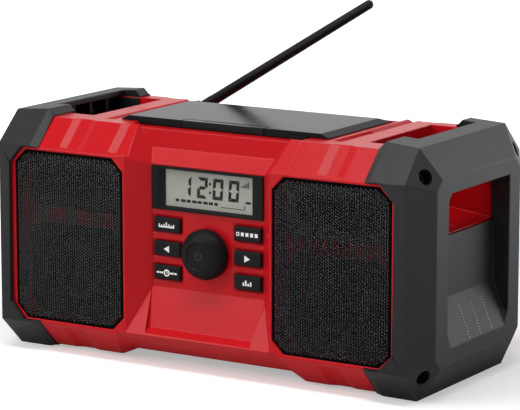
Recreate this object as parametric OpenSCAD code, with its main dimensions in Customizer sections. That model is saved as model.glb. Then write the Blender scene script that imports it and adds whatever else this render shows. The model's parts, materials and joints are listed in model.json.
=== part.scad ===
// Jobsite radio: a red two-piece case between two rubber end caps with hand holes.
// Bench frame of the modules: X across, Y from the front (0) to the back, Z up from the ground.
// The last module, placed(), moves the finished piece so that the origin is under the middle.

/* [Case] */
// Overall width across the end caps
case_w = 400; // [384:1:430]
// Overall depth
case_d = 190; // [184:1:210]
// Height at the outer ridge of the end caps
case_h = 194; // [188:1:210]
// Width of one end cap
cap_w = 50; // [46:1:54]
// Front, rear, top and bottom bevel of the end caps
cap_bevel = 24.5; // [20:0.5:27]
// Rise of the cap's top from the outer ridge to the inner edge
cap_crown = 2.5; // [1:0.5:3]
// How far the red case lies under the cap's skin
core_in = 4; // [3.5:0.5:5]
// How high the red case's underside lies above the ground
core_low = 2; // [1.6:0.1:3]
// Bevel of the red case
core_bevel = 22.5; // [20:0.5:24]
// Height of the raised underside between the two pads
recess_z = 8; // [5:0.5:10]
// Half width of the raised underside
recess_w = 73; // [68:1:74]
// Depth of the channels in the bevels
channel_depth = 1.8; // [1:0.1:2]
// Wall of the red case
wall = 3; // [2:0.5:3.5]
// Gap between pieces that sit in each other
fit_gap = 0.3; // [0.2:0.05:0.4]
// Distance of the joint between front and rear housing from the front
split_y = 100; // [96:1:104]

/* [End caps] */
// Width of the vertical bevel seen from the front
side_bevel_x = 14; // [10:1:16]
// Depth of the vertical bevel
side_bevel_y = 26; // [22:1:30]
// Width of the bevel between the cap's top and side
side_top_x = 15; // [12:1:17]
// Thickness of the cap's side wall
side_wall = 16.7; // [15:0.1:20]
// Diameter of the bolt holes in the corner facets
bolt_hole_d = 12.5; // [9:0.5:14]
// Depth of the bolt holes
bolt_hole_depth = 11; // [8:0.5:12]
// Cap material under a corner facet
corner_depth = 15; // [14:0.5:17]
// Hand pocket: length front to back
pocket_len = 100; // [90:1:104]
// Hand pocket: depth from the cap's inner side towards the middle of the case
pocket_in = 22; // [16:1:24]
// Hand pocket: height of its floor at the deep end
pocket_floor = 128; // [122:1:132]
// Hand pocket: fall of the floor towards the outside
pocket_fall = 7; // [3:1:9]
// Width of the bar that the hand holds, at its top
bar_w = 33; // [28:1:35]
// Side window: height of its sill
window_z0 = 120; // [114:1:124]
// Side window: height of its top edge
window_z1 = 157; // [150:1:160]
// Side panel: how far it is sunk
panel_sink = 14; // [8:0.5:14.5]
// Side panel: height where its lower ramp starts
panel_ramp_z = 72; // [60:1:84]
// Side panel: lower edge
panel_z0 = 38; // [32:1:44]
// Thickness of the stiffening ribs in the bar
bar_rib = 2; // [1.5:0.1:3]
// Number of rib cells in the bar
bar_cells = 4; // [3:1:5]

/* [Console] */
// Half width of the console at the front plane
console_w = 67; // [64:1:70]
// Depth of the console plane
console_y = 21.5; // [18:0.5:23]
// Height of the lower edge of the ramp
ramp_z0 = 26.5; // [25:0.5:30]
// Height of the button area between the ramp and the display
control_h = 62.8; // [60:0.2:66]
// Sunken panel in the ramp: width at its top
ramp_panel_w = 106; // [80:1:110]
// Sunken panel in the ramp: depth at its foot
ramp_panel_sink = 4; // [2:0.5:5]

/* [Display] */
// Width of the display bezel
bezel_w = 104; // [96:1:106]
// Height of the display bezel
bezel_h = 35; // [32:0.5:37]
// Thickness of the bezel in front of the console plane
bezel_t = 1.9; // [1.2:0.1:2.5]
// Width of the display window
window_w = 81; // [70:1:84]
// Height of the display window
window_h = 29.4; // [24:0.1:30]

/* [Controls] */
// Width of a push button
button_w = 24.4; // [20:0.2:25]
// Height of a push button
button_h = 11.4; // [9:0.2:13]
// Distance of the button columns from the middle
button_x = 37.4; // [35:0.2:38.5]
// Distance between button rows
button_pitch = 19.25; // [17:0.25:20]
// Height of the buttons in front of the console plane
button_proud = 2.3; // [1.5:0.1:3]
// Chamfer round the front of a push button
button_edge = 0.9; // [0.5:0.1:1.5]
// Travel of a push button
button_travel = 1; // [0.5:0.1:1.2]
// Running gap around a push button
button_gap = 0.4; // [0.3:0.05:0.6]
// Width of the sloped rim around a button
socket_rim = 2; // [1:0.1:2.4]
// Depth of the sloped rim around a button
socket_sink = 1.3; // [0.8:0.1:1.6]
// Diameter of the control knob at its base
knob_d = 40; // [34:1:42]
// Length of the control knob
knob_len = 13.5; // [11:0.5:16]
// Push travel of the control knob
knob_travel = 1; // [0.5:0.1:1.2]
// Diameter of the encoder shaft
shaft_d = 6; // [5:0.5:7]

/* [Speakers] */
// Distance of a grille's outer edge from the side of the radio
grille_side = 26.5; // [25.5:0.5:32]
// Red strip between a grille and the console
grille_gap = 1.9; // [1.5:0.1:4]
// Distance of a grille's upper edge from the top ridge
grille_top = 28.5; // [27.5:0.5:34]
// Height of a grille's lower edge
grille_z0 = 27; // [26.5:0.1:29]
// Corner cut of the grilles
grille_cut = 10.5; // [7:0.5:13]
// Sheet thickness of the grille
grille_t = 1.6; // [1:0.1:2.5]
// Depth of the speaker baffle behind the front
baffle_y = 16; // [13:0.5:17]
// Height of the driver's flange
driver_d = 74; // [66:1:76]
// Strip of the baffle beside the driver's flange
flange_side = 5.9; // [2:0.1:10]
// Strip of the baffle beside the radiator
radiator_side = 4.9; // [2:0.1:10]
// Distance between the driver and the radiator
speaker_gap = 12.7; // [6:0.1:18]
// Strip of the baffle under the driver and above the radiator
speaker_edge = 1.5; // [1:0.1:4]

/* [Lid and compartment] */
// Width of the compartment lid
lid_w = 192; // [176:2:194]
// Front edge of the lid behind the case front
lid_y0 = 43; // [42:0.5:46]
// Distance of the lid's hinge axis from the back of the radio
hinge_back = 47; // [45:1:52]
// Thickness of the lid plate
lid_t = 3.7; // [3:0.1:4.5]
// Width of the bevel round the lid
lid_bevel = 7; // [4:0.5:9]
// Diameter of the hinge pin
hinge_pin_d = 3; // [2.5:0.1:3.4]
// Width of the latch tab
latch_w = 75.4; // [50:0.2:80]
// Depth of the compartment
tray_depth = 26; // [18:1:30]
// Width of the compartment
tray_w = 164; // [140:2:168]
// Wall of the compartment tray
tray_wall = 2; // [1.6:0.1:2.5]

/* [Antenna] */
// Length of the antenna rod from its pivot
antenna_len = 202; // [160:1:204]
// Diameter of the rod at its foot
antenna_d = 9.6; // [8:0.1:10]
// Diameter of the rod at its tip
antenna_tip_d = 7.6; // [6:0.1:8.5]
// Angle of the rod above the level at rest
antenna_tilt = 31; // [20:1:45]
// Distance of the antenna's foot from the middle
antenna_x = 112; // [106:1:114]
// Diameter of the swivel base
swivel_d = 15; // [14:0.5:16]

/* [Battery bay and mains] */
// Width of the battery bay
bay_w = 100; // [92:1:104]
// Height of the battery bay
bay_h = 112; // [100:1:114]
// Depth of the battery bay
bay_depth = 36; // [28:1:38]
// Height of the bay's floor
bay_z0 = 28; // [26:1:30]
// Width of the mains inlet's flange
inlet_w = 34; // [30:1:36]
// Height of the mains inlet's flange
inlet_h = 26; // [22:1:28]

/* [Hidden] */
$fn = 64;
eps = 0.01;
core_x = case_w/2 - cap_w;
core_end = case_w/2 - side_wall - fit_gap;
channel_end = 3;
edge_run = 5.5;
edge_lip = 0.8;
ridge_x = case_w/2 - side_top_x;
core_top = case_h - core_in;
facet_az = 21.6;
facet_el = 22.5;
facet_at = [case_w/2 - side_bevel_x/2 - 0.5, side_bevel_y - 5.5, case_h - cap_bevel + 4];

pocket_y0 = case_d/2 + 5 - pocket_len/2;
pocket_y1 = pocket_y0 + pocket_len;
pocket_x = core_x - pocket_in;
bar_x = case_w/2 - bar_w;
slot_y0 = pocket_y0 + 6;
window_y0 = pocket_y0 - 5;
window_y1 = pocket_y1 - 4;

throat_slope = 0.884;
throat_rise = 0.8284;
throat_lean = 0.6063;
throat_z = core_top - 23.5;
console_x = console_w - (console_y - core_in)*throat_slope;
bezel_x = min(bezel_w/2, console_x - fit_gap);
bezel_z1 = case_h - 33.2;
bezel_z0 = bezel_z1 - bezel_h;
ramp_z1 = bezel_z0 - control_h;
bezel_zc = (bezel_z0 + bezel_z1)/2;
facet_y1 = console_y + 8.3;
facet_z1 = bezel_z1 + 12.2;
facet_y2 = console_y + 9.7;
step_z = core_top - 2.5;
knob_z = (ramp_z1 + bezel_z0)/2;
console_back = console_y + wall;

grille_w = case_w/2 - grille_side - console_w - grille_gap;
grille_x = console_w + grille_gap + grille_w/2;
grille_z1 = case_h - grille_top;
grille_h = grille_z1 - grille_z0;
grille_seat = 3.4;
opening_w = grille_w - 2*grille_seat;
opening_h = grille_h - 2*grille_seat;
grille_sink = 0.4;
// Red left between a grille's outer edge and the end cap, and the bevel round the cap's opening
grille_show = 2.4;
opening_bevel = 1;
cap_opening_x = grille_x + grille_w/2 + grille_show;
baffle_t = 3;
baffle_back = baffle_y + baffle_t;
driver_z = grille_z0 + grille_seat + speaker_edge + driver_d/2;
flange_w = opening_w - 2*flange_side;
flange_cut = 10;
basket_d = driver_d - 8;
radiator_w = opening_w - 2*radiator_side;
radiator_h = opening_h - driver_d - speaker_gap - 2*speaker_edge;
radiator_z = grille_z1 - grille_seat - speaker_edge - radiator_h/2;
radiator_roll = radiator_h/4;
driver_hole_d = basket_d + 1;
radiator_lip = 4;
speaker_screw_d = 3;
plate_screw_in = 5.2;
coil_r = 8.5;
coil_y = 20;

lid_z0 = core_top + fit_gap;
lid_z1 = lid_z0 + lid_t;
lid_y1 = case_d - hinge_back;
hinge_r = 3;
hinge_y = lid_y1;
hinge_z = core_top - hinge_r;
hinge_xs = [-45, 45];
hinge_len = 20;
ear_t = 4;
trough_y0 = hinge_y - 5;
trough_y1 = hinge_y + 6;
trough_z = hinge_z - hinge_pin_d/2 - fit_gap;
skirt_w = lid_w - 38;
skirt_z = step_z + fit_gap;
skirt_t = 4;
latch_y1 = lid_y0 + 8;
latch_pin_d = 2;
latch_pin_y = lid_y0 + 5.4;
latch_pin_z = lid_z0 + lid_t/2;
latch_slit = 0.6;
catch_depth = 4;
catch_y0 = lid_y0 + 3;
catch_y1 = lid_y0 + 4.9;
tray_y0 = lid_y0 + 13;
tray_y1 = hinge_y - 12;
tray_z1 = core_top - 0.8;
tray_z0 = tray_z1 - tray_depth - tray_wall;
tray_lip = 3;
socket_dy = 14;
socket_len = 12;
tray_lip_t = 2;
seal_t = 0.8;

antenna_y = case_d - 18;
antenna_z = core_top - 13.2;
ledge_z = antenna_z - antenna_d/2 - 0.8;
ledge_y = case_d - 28;
ledge_y_mid = hinge_y + 9;
ledge_x0 = -(antenna_x + 13);
ledge_x1 = 98;
pin_d = 3;
fork_gap = 8.2;
fork_t = 2.5;
run_gap = 0.05;
ferrule_len = 24;
swivel_deep = 20;
tongue_r = 4.1;
base_t = 1;

bay_back = case_d - core_in;
bay_y = bay_back - bay_depth;
bay_z1 = bay_z0 + bay_h;
dock_t = 4;
rail_x = 30;
rail_z0 = bay_z0 + 16;
blade_z0 = bay_z0 + 26;
inlet_x = -92;
inlet_z = 44;
inlet_deep = 18;

board_y = console_back + 9;
board_t = 1.6;
board_w = 104;
cell_d = 20;
cell_t = 5;
floor_z = recess_z + wall;
main_z = floor_z + 6;
main_size = [80, 50];
main_x0 = -32;
main_y0 = 36;
transformer_size = [42, 40, 36];
transformer_x = recess_w + wall + 15 + transformer_size[0]/2;
transformer_y0 = case_d - 80;
post_r = 5;
post_x = transformer_x + transformer_size[0]/2 + 7;
post_xz = [[62, 20], [post_x, 20], [62, tray_z0 - 12.2], [post_x, pocket_floor - 21]];
screw_d = 3.2;
screw_head_d = 7;
screw_head_t = 3;
screw_reach = 20;
screw_seat_y = split_y + 46;
corner_screw_len = 24;

red = "#c4292d";
black = "#232426";
rubber = "#2e2f31";
grey = "#6e6e72";
steel = "#b9bcc0";
glass = "#a9ada0";

// ---- helpers ----

module prism_x(points, x0, x1) translate([x0, 0, 0]) rotate([90, 0, 90])
  linear_extrude(x1 - x0) polygon(points);

module prism_y(points, y0, y1) translate([0, y1, 0]) rotate([90, 0, 0])
  linear_extrude(y1 - y0) polygon(points);

module prism_z(points, z0, z1) translate([0, 0, z0]) linear_extrude(z1 - z0) polygon(points);

module block(a, b) translate(a) cube(b - a);

// A four-sided frustum along Y: w0 by h0 at y0, and w1 by h1 at y1
module frustum_y(w0, h0, y0, w1, h1, y1) intersection() {
  prism_z([[-w0/2, y0], [w0/2, y0], [w1/2, y1], [-w1/2, y1]], -max(h0, h1), max(h0, h1));
  prism_x([[y0, -h0/2], [y0, h0/2], [y1, h1/2], [y1, -h1/2]], -max(w0, w1), max(w0, w1));
}

module rod_x(d, x0, x1) translate([x0, 0, 0]) rotate([0, 90, 0]) cylinder(d = d, h = x1 - x0);

module rod_y(d, y0, y1) translate([0, y1, 0]) rotate([90, 0, 0]) cylinder(d = d, h = y1 - y0);

module both_sides() for (m = [0, 1]) mirror([m, 0, 0]) children();

// The eight corners of the case, with the top front right one as the pattern
module at_corners(sides = [0, 1]) for (mx = sides, my = [0, 1], mz = [0, 1])
  translate([0, my*case_d, mz*case_h]) mirror([mx, 0, 0]) mirror([0, my, 0])
    mirror([0, 0, mz]) children();

// Along the outward normal of the corner facet: local X points outwards
module along_facet() translate(facet_at) rotate([0, -facet_el, -facet_az]) children();

module corner_block(depth) along_facet() translate([-depth, -case_h/2, -case_h/2])
  cube([case_h, case_h, case_h]);

module placed() translate([0, -case_d/2, 0]) children();

function octagon(y0, z0, z1, b) = [[y0 + b, z0], [case_d - y0 - b, z0], [case_d - y0, z0 + b],
  [case_d - y0, z1 - b], [case_d - y0 - b, z1], [y0 + b, z1], [y0, z1 - b], [y0, z0 + b]];

function cut_rect(w, h, c) = [[-w/2 + c, -h/2], [w/2 - c, -h/2], [w/2, -h/2 + c],
  [w/2, h/2 - c], [w/2 - c, h/2], [-w/2 + c, h/2], [-w/2, h/2 - c], [-w/2, -h/2 + c]];

function inset_bevel(s) = core_bevel - s*(2 - sqrt(2));

// ---- red case ----

// The outside of the red case, or a copy that is smaller by s on every side
module core_form(s = 0) difference() {
  prism_x(octagon(core_in + s, core_low + s, core_top - s, inset_bevel(s)),
    -core_end + s, core_end - s);
  at_corners() corner_block(corner_depth + s);
}

// The space in front of the console: ramp, button plane and the facets above the display.
// g makes it larger on the inside, to leave a wall.
module console_cut(g = 0) intersection() {
  prism_x([[-10, ramp_z0 - 2*g], [core_in + 1.2*g, ramp_z0 - 2*g],
    [console_y + g, ramp_z1 - 0.5*g], [console_y + g, bezel_z1 + 0.6],
    [facet_y1 + g, facet_z1], [facet_y2 + g, step_z - g], [facet_y2 + g, case_h + 20],
    [-10, case_h + 20]], -case_w/2, case_w/2);
  union() {
    prism_z([for (m = [1, -1]) for (y = m > 0 ? [-10, console_y + 30] : [console_y + 30, -10])
      [m*(console_w + g - (y - core_in)*throat_slope), y]], 0, case_h + 20);
    throat(g);
  }
}

// Upper part of the console's side walls, which lean outwards
module throat(g) {
  ys = [-8, facet_y2 + g + 6];
  zs = [throat_z - 16, case_h + 10];
  function half(y, z) = console_w + g - throat_lean*(y - core_in) + throat_rise*(z - throat_z);
  p = [for (m = [-1, 1], y = ys, z = zs) [m*half(y, z), y, z]];
  polyhedron(points = p, faces = [[2, 3, 1, 0], [5, 7, 6, 4], [1, 5, 4, 0], [6, 7, 3, 2],
    [4, 6, 2, 0], [3, 7, 5, 1]]);
}

// Sunken panel in the ramp: steeper than the ramp, with a sloped foot; g leaves a wall behind it
module ramp_panel(g = 0) {
  foot = ramp_z0 + 5.5;
  run = (console_y - core_in)/(ramp_z1 - ramp_z0);
  function ramp_at(z) = core_in + (z - ramp_z0)*run;
  z0 = foot - 1.5*ramp_panel_sink;
  y0 = ramp_at(foot) + ramp_panel_sink - 1.5*ramp_panel_sink*(1 + run);
  w = ramp_panel_w/2 + g;
  intersection() {
    prism_x([[-10, z0 - g], [y0 + 1.2*g, z0 - g],
      [ramp_at(foot) + ramp_panel_sink + 1.2*g, foot - 0.6*g],
      [console_y + g, ramp_z1], [-10, ramp_z1]], -w, w);
    prism_y([[-w + 7, 0], [w - 7, 0], [w, ramp_z1], [-w, ramp_z1]], -10, console_y + 10);
  }
}

// Recess and inner opening behind one grille, right side
module grille_recess() translate([grille_x, 0, (grille_z0 + grille_z1)/2]) {
  prism_y(cut_rect(grille_w, grille_h, grille_cut), 0, core_in + grille_sink + grille_t);
  prism_y(cut_rect(opening_w, opening_h, grille_cut), 0, baffle_y);
}

// Holes in the baffle for the driver, the radiator and the screws
module baffle_holes() {
  translate([grille_x, 0, driver_z]) {
    rod_y(driver_hole_d, baffle_y - 1, baffle_back + 1);
    driver_screw_places() rod_y(speaker_screw_d, baffle_y - 1, baffle_back + 1);
  }
  translate([grille_x, 0, radiator_z]) {
    stadium(radiator_w - 2*radiator_lip, radiator_h - 2*radiator_lip, baffle_y - 1,
      baffle_back + 1);
    radiator_screw_places() rod_y(speaker_screw_d, baffle_y - 1, baffle_back + 1);
  }
}

// The four corners of a w by h plate, moved in by the screws' distance from its edges
module plate_screws(w, h) for (sx = [-1, 1], sz = [-1, 1])
  translate([sx*(w/2 - plate_screw_in), 0, sz*(h/2 - plate_screw_in)]) children();

module driver_screw_places() plate_screws(flange_w, driver_d) children();

module radiator_screw_places() plate_screws(radiator_w, radiator_h) children();

module stadium(w, h, y0, y1) {
  block([-(w - h)/2, y0, -h/2], [(w - h)/2, y1, h/2]);
  for (s = [-1, 1]) translate([s*(w - h)/2, 0, 0]) rod_y(h, y0, y1);
}

// Shallow channels that run up the front and rear bevels, with an end wall near the edge
module bevel_channels(x1 = core_x - 19) for (my = [0, 1], mz = [0, 1])
  translate([0, my*case_d, mz > 0 ? core_top : core_low]) mirror([0, my, 0]) mirror([0, 0, mz])
    translate([0, core_in, core_bevel]) rotate([45, 0, 0]) {
      prism_z([[x1 - 23, -1], [x1 - 23, 0], [x1 - 16.5, channel_depth], [x1 - 6.5, channel_depth],
        [x1, 0], [x1, -1]], -60, -channel_end);
      if (mz > 0 && my < 1) prism_z([[console_w - 7, -1], [console_w + 17, -1], [console_w + 17, 0],
        [console_w + 11, channel_depth + 0.6], [console_w - 7, channel_depth + 0.6]], -60, -channel_end);
    }

// The raised underside between the pads; its front follows the ramp's lower edge
module under_recess(g = 0) {
  run = core_bevel + 1.5;
  z_end = ramp_z0 - 0.5 + 4*(ramp_z0 - recess_z)/run;
  w = recess_w + g;
  stations = [[core_in - 4, z_end], [core_in + run, recess_z],
    [case_d - core_in - run, recess_z], [case_d - core_in + 4, z_end]];
  for (i = [0:2]) hull() for (k = [i, i + 1]) translate([0, stations[k][0], stations[k][1] + g])
    prism_y([[-w, 0], [w, 0], [w + 40, -20], [-w - 40, -20]], 0, eps);
}

// Channels that run from front to back beside the lid
module top_channels() translate([lid_w/2 + 4.5, 0, core_top])
  prism_y([[0, 1], [1, -2.2], [7, -2.2], [10, 1]], lid_y0 - 2, case_d);

// The hand pocket with a floor that falls to the outside; g leaves a wall
module hand_pocket(g = 0) prism_y([[pocket_x - g, pocket_floor - g],
  [case_w/2, pocket_floor - g - pocket_fall*(case_w/2 - pocket_x)/(core_end - pocket_x)],
  [case_w/2, case_h + 20], [pocket_x - g, case_h + 20]], pocket_y0 - g, pocket_y1 + g);

// Steps in the top: in front of the lid, at the hinge, and the ledge that the antenna lies on
module top_steps(g = 0) {
  step_w = (lid_w - 34)/2 + g;
  block([-step_w, facet_y2, step_z - g], [step_w, lid_y0 + skirt_t + 1.4 + g, 250]);
  block([-lid_w/2 - 1 - g, trough_y0 - g, trough_z - g], [lid_w/2 + 1 + g, trough_y1 + g, 250]);
  ears = hinge_len/2 + ear_t + 3 + g;
  for (x = hinge_xs) block([x - ears, trough_y0 - g, hinge_z - hinge_r - 1.5 - g],
    [x + ears, trough_y1 + g, 250]);
  block([ledge_x0 - g, ledge_y - g, ledge_z - g], [ledge_x1 + g, case_d + 10, 250]);
  block([-lid_w/2 - 1 - g, ledge_y_mid - g, ledge_z - g], [ledge_x1 + g, case_d + 10, 250]);
}

// Slot that the latch's tongue drops into; it leaves room for the tongue's swing
module catch_slot(g = 0) block([-latch_w/4 - 1 - g, lid_y0 + 0.4 - g, step_z - catch_depth - 1 - g],
  [latch_w/4 + 1 + g, catch_y1 + 0.4 + g, step_z + 1]);

// A block round the compartment, e larger than its opening on every side
module round_tray(e, z0, z1) block([-tray_w/2 - e, tray_y0 - e, z0], [tray_w/2 + e, tray_y1 + e, z1]);

module tray_hole(g = 0) round_tray(tray_wall + fit_gap + g, tray_z0 - fit_gap - g, 250);

module tray_seat() round_tray(tray_wall + tray_lip + fit_gap, tray_z1 - tray_lip_t, 250);

module battery_bay(g = 0) block([-bay_w/2 - g, bay_y - g, bay_z0 - g],
  [bay_w/2 + g, case_d + 10, bay_z1 + g]);

module inlet_hole(g = 0) translate([inlet_x, 0, inlet_z])
  block([-inlet_w/2 + 3 - g, bay_back - inlet_deep - g, -inlet_h/2 + 3 - g],
    [inlet_w/2 - 3 + g, case_d + 10, inlet_h/2 - 3 + g]);

// Everything cut from the outside of the red case
module outer_cuts() {
  console_cut();
  ramp_panel();
  both_sides() {
    grille_recess();
    baffle_holes();
    bevel_channels();
    top_channels();
    hand_pocket();
  }
  top_steps();
  under_recess();
  catch_slot();
  tray_hole();
  tray_seat();
  socket_places() socket_cut(socket_len + 1);
  battery_bay();
  inlet_hole();
  translate([inlet_x, 0, inlet_z]) block([-inlet_w/2, bay_back - 2, -inlet_h/2],
    [inlet_w/2, case_d + 1, inlet_h/2]);
  swivel_hole();
  display_holes();
  button_holes();
  translate([0, 0, knob_z]) rod_y(shaft_d + 6, 0, console_back + 5);
}

module swivel_hole() translate([-antenna_x, antenna_y, ledge_z - swivel_deep - 0.3])
  cylinder(d = swivel_d - 3 + 2*run_gap, h = swivel_deep + 1);

module display_holes() translate([0, 0, bezel_zc])
  block([-window_w/2 - 3.6, 0, -window_h/2 - 1.2],
    [window_w/2 + 3.6, console_back + 5, window_h/2 + 1.2]);

module button_places() for (s = [-1, 1], r = [-1, 0, 1])
  translate([s*button_x, 0, knob_z + r*button_pitch]) children();

module button_holes() button_places() {
  w = button_w + 2*button_gap;
  h = button_h + 2*button_gap;
  block([-w/2, 0, -h/2], [w/2, console_back + 5, h/2]);
  frustum_y(w + 2*socket_rim, h + 2*socket_rim, console_y - eps,
    w + 0.8, h + 0.8, console_y + socket_sink);
}

// The hollow inside the red case, kept a wall away from every cut
module inner_hollow() difference() {
  core_form(wall);
  console_cut(wall);
  ramp_panel(wall);
  under_recess(wall);
  both_sides() {
    hand_pocket(wall);
    translate([grille_x, 0, (grille_z0 + grille_z1)/2])
      prism_y(cut_rect(grille_w + 2*wall, grille_h + 2*wall, grille_cut), 0, baffle_back);
  }
  top_steps(wall);
  catch_slot(wall);
  tray_hole(wall);
  block([-core_end, 0, core_top - 6], [core_end, case_d, case_h]);
  battery_bay(wall);
  inlet_hole(wall);
  translate([-antenna_x, antenna_y, ledge_z - swivel_deep - 0.3 - wall])
    cylinder(d = swivel_d + 4, h = 60);
}

// Screw posts that join the two housings, and bosses for the cap bolts
module posts(y0, y1) both_sides() for (p = post_xz) translate([p[0], 0, p[1]])
  rod_y(2*post_r, y0, y1);

module post_holes() both_sides() for (p = post_xz) translate([p[0], 0, p[1]]) {
  rod_y(screw_d + 0.2, split_y - screw_reach - 2, case_d);
  rod_y(screw_head_d + 0.6, screw_seat_y, case_d);
}

module corner_bosses() intersection() {
  at_corners() along_facet() rod_x(11, -corner_depth - 18, 0);
  core_form(wall/4);
}

module corner_screw_holes() at_corners() along_facet()
  rod_x(screw_d + 0.2, -corner_depth - corner_screw_len + 4, 5);

// The whole red case before it is parted into the two housings
module case_body() {
  difference() {
    union() {
      difference() {
        core_form(0);
        inner_hollow();
      }
      difference() {
        intersection() {
          posts(baffle_back - 1, case_d - core_in);
          core_form(1);
        }
        both_sides() hand_pocket(0);
      }
      corner_bosses();
    }
    outer_cuts();
    post_holes();
    corner_screw_holes();
  }
}

module front_housing() color(red) placed() {
  intersection() {
    case_body();
    block([-case_w, -1, -1], [case_w, split_y - fit_gap/6, case_h + 20]);
  }
}

module rear_housing() color(red) placed() {
  intersection() {
    case_body();
    block([-case_w, split_y + fit_gap/6, -1], [case_w, case_d + 1, case_h + 20]);
  }
  hinge_ears();
}

module hinge_ears() for (x = hinge_xs, s = [-1, 1])
  difference() {
    x0 = x + s*(hinge_len/2 + ear_t/2 + 0.4) - ear_t/2;
    union() {
      translate([0, hinge_y, hinge_z]) rod_x(2*hinge_r, x0, x0 + ear_t);
      block([x0, hinge_y - hinge_r, hinge_z - hinge_r - 1.5 - eps],
        [x0 + ear_t, hinge_y + hinge_r, hinge_z]);
    }
    translate([0, hinge_y, hinge_z]) rod_x(hinge_pin_d + 2*run_gap, x0 - 1, x0 + ear_t + 1);
  }

// ---- end caps ----

// Side view outline of the cap; its top rises by the crown
cap_outline = [[cap_bevel, 0], [case_d - cap_bevel, 0], [case_d, cap_bevel],
  [case_d, case_h - cap_bevel], [case_d - cap_bevel - cap_crown, case_h + cap_crown],
  [cap_bevel + cap_crown, case_h + cap_crown], [0, case_h - cap_bevel], [0, cap_bevel]];

module cap_form() difference() {
  intersection() {
    union() {
      prism_x(cap_outline, core_x + edge_run, case_w/2);
      hull() {
        prism_x(octagon(core_in - edge_lip, core_low - edge_lip, core_top + edge_lip,
          inset_bevel(-edge_lip)), core_x, core_x + eps);
        prism_x(cap_outline, core_x + edge_run, core_x + edge_run + eps);
      }
    }
    prism_z([[core_x, 0], [case_w/2 - side_bevel_x, 0], [case_w/2, side_bevel_y],
      [case_w/2, case_d - side_bevel_y], [case_w/2 - side_bevel_x, case_d], [core_x, case_d]],
      -1, case_h + 20);
    prism_y([[core_x, 0], [ridge_x, 0], [case_w/2, cap_bevel], [case_w/2, case_h - cap_bevel],
      [ridge_x, case_h], [core_x, case_h + cap_crown]], -1, case_d + 1);
  }
  at_corners([0]) corner_block(0);
}

// Opening in the cap's front that shows the grille's outer edge; e widens it
module cap_front_opening() {
  z0 = cap_bevel;
  z1 = case_h - cap_bevel;
  function outline(e) = [[core_x - 5, z0 + 2 - e], [core_x + 14 + e/2, z0 + 2 - e],
    [cap_opening_x + e, z0 + 15.5 - e/2], [cap_opening_x + e, z1 - 15.5 + e/2],
    [core_x + 14 + e/2, z1 - 2 + e], [core_x - 5, z1 - 2 + e]];
  hull() {
    prism_y(outline(0), core_in, core_in + fit_gap);
    prism_y(outline(opening_bevel), -0.02, -0.01);
  }
  prism_y(outline(0), -1, core_in + fit_gap + 0.2);
}

module side_window() {
  r = 5;
  intersection() {
    block([core_end - 5, window_y0, window_z0], [case_w/2 + 1, window_y1, window_z1]);
    prism_x([[window_y0, window_z0 - 1], [window_y1, window_z0 - 1], [window_y1, window_z1 + 1],
      [window_y0 + r, window_z1 + 1], [window_y0 + r, window_z1], [window_y0, window_z1 - r]],
      core_end - 5, case_w/2 + 1);
  }
}

module side_panel() {
  x0 = case_w/2 - panel_sink;
  intersection() {
    prism_y([[x0, panel_ramp_z], [case_w/2, panel_z0], [case_w/2 + 5, panel_z0 - 12],
      [case_w/2 + 5, window_z0 + 1], [x0, window_z0 + 1]], window_y0, window_y1);
    prism_x([[window_y0, panel_z0 + 12], [window_y0 + 7, panel_z0 - 2], [window_y1 - 8, panel_z0 - 2],
      [window_y1, panel_z0 + 12], [window_y1, case_h], [window_y0, case_h]], x0 - 1, case_w/2 + 6);
  }
}

module bar_ribs() {
  y0 = slot_y0;
  y1 = pocket_y1 - fit_gap;
  cell = (y1 - y0)/bar_cells;
  x0 = bar_x + 1;
  z0 = window_z1;
  z1 = core_top + fit_gap + 1;
  for (i = [1 : bar_cells - 1]) block([x0, y0 + i*cell - bar_rib/2, z0],
    [core_end + 1, y0 + i*cell + bar_rib/2, z1]);
  for (i = [0 : bar_cells - 1]) prism_x([[y0 + i*cell, z1], [y0 + i*cell + bar_rib, z1],
    [y0 + (i + 1)*cell, z0 + 1], [y0 + (i + 1)*cell - bar_rib, z0 + 1]], x0 + 3, core_end + 1);
}

module cap() {
  difference() {
    cap_form();
    core_form(-fit_gap);
    cap_front_opening();
    block([core_x - 1, slot_y0, pocket_floor], [bar_x, pocket_y1, case_h + 20]);
    side_window();
    side_panel();
    at_corners([0]) along_facet() {
      rod_x(bolt_hole_d, -bolt_hole_depth, 20);
      rod_x(screw_d + 0.4, -corner_depth - 5, 1);
    }
  }
  bar_ribs();
  block([bar_x + 1, pocket_y0 + 1, window_z1], [core_end + 1, pocket_y1 - fit_gap, window_z1 + 3]);
}

module left_end_cap() color(black) placed() mirror([1, 0, 0]) cap();

module right_end_cap() color(rubber) placed() cap();

module end_cap_screws() color(steel) placed() at_corners() along_facet() {
  rod_x(screw_d, -corner_depth - corner_screw_len + 6, -bolt_hole_depth + 0.1);
  difference() {
    rod_x(8.5, -bolt_hole_depth, -bolt_hole_depth + 4);
    translate([-bolt_hole_depth + 1.5, 0, 0]) rotate([0, 90, 0]) cylinder(d = 4.6, h = 3, $fn = 6);
  }
}

module housing_screws() color(steel) placed() both_sides() for (p = post_xz)
  translate([p[0], 0, p[1]]) {
    rod_y(screw_d, split_y - screw_reach, screw_seat_y + 0.1);
    difference() {
      rod_y(screw_head_d, screw_seat_y, screw_seat_y + screw_head_t);
      for (a = [45, -45]) rotate([0, a, 0]) block([-2.6, screw_seat_y + screw_head_t/2, -0.6],
        [2.6, screw_seat_y + screw_head_t + 1, 0.6]);
    }
  }

// ---- speakers ----

module grille() translate([grille_x, 0, (grille_z0 + grille_z1)/2])
  prism_y(cut_rect(grille_w - 2*fit_gap, grille_h - 2*fit_gap, grille_cut - fit_gap*0.6),
    core_in + grille_sink, core_in + grille_sink + grille_t);

module left_grille() color(black) placed() mirror([1, 0, 0]) grille();

module right_grille() color(black) placed() grille();

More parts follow.
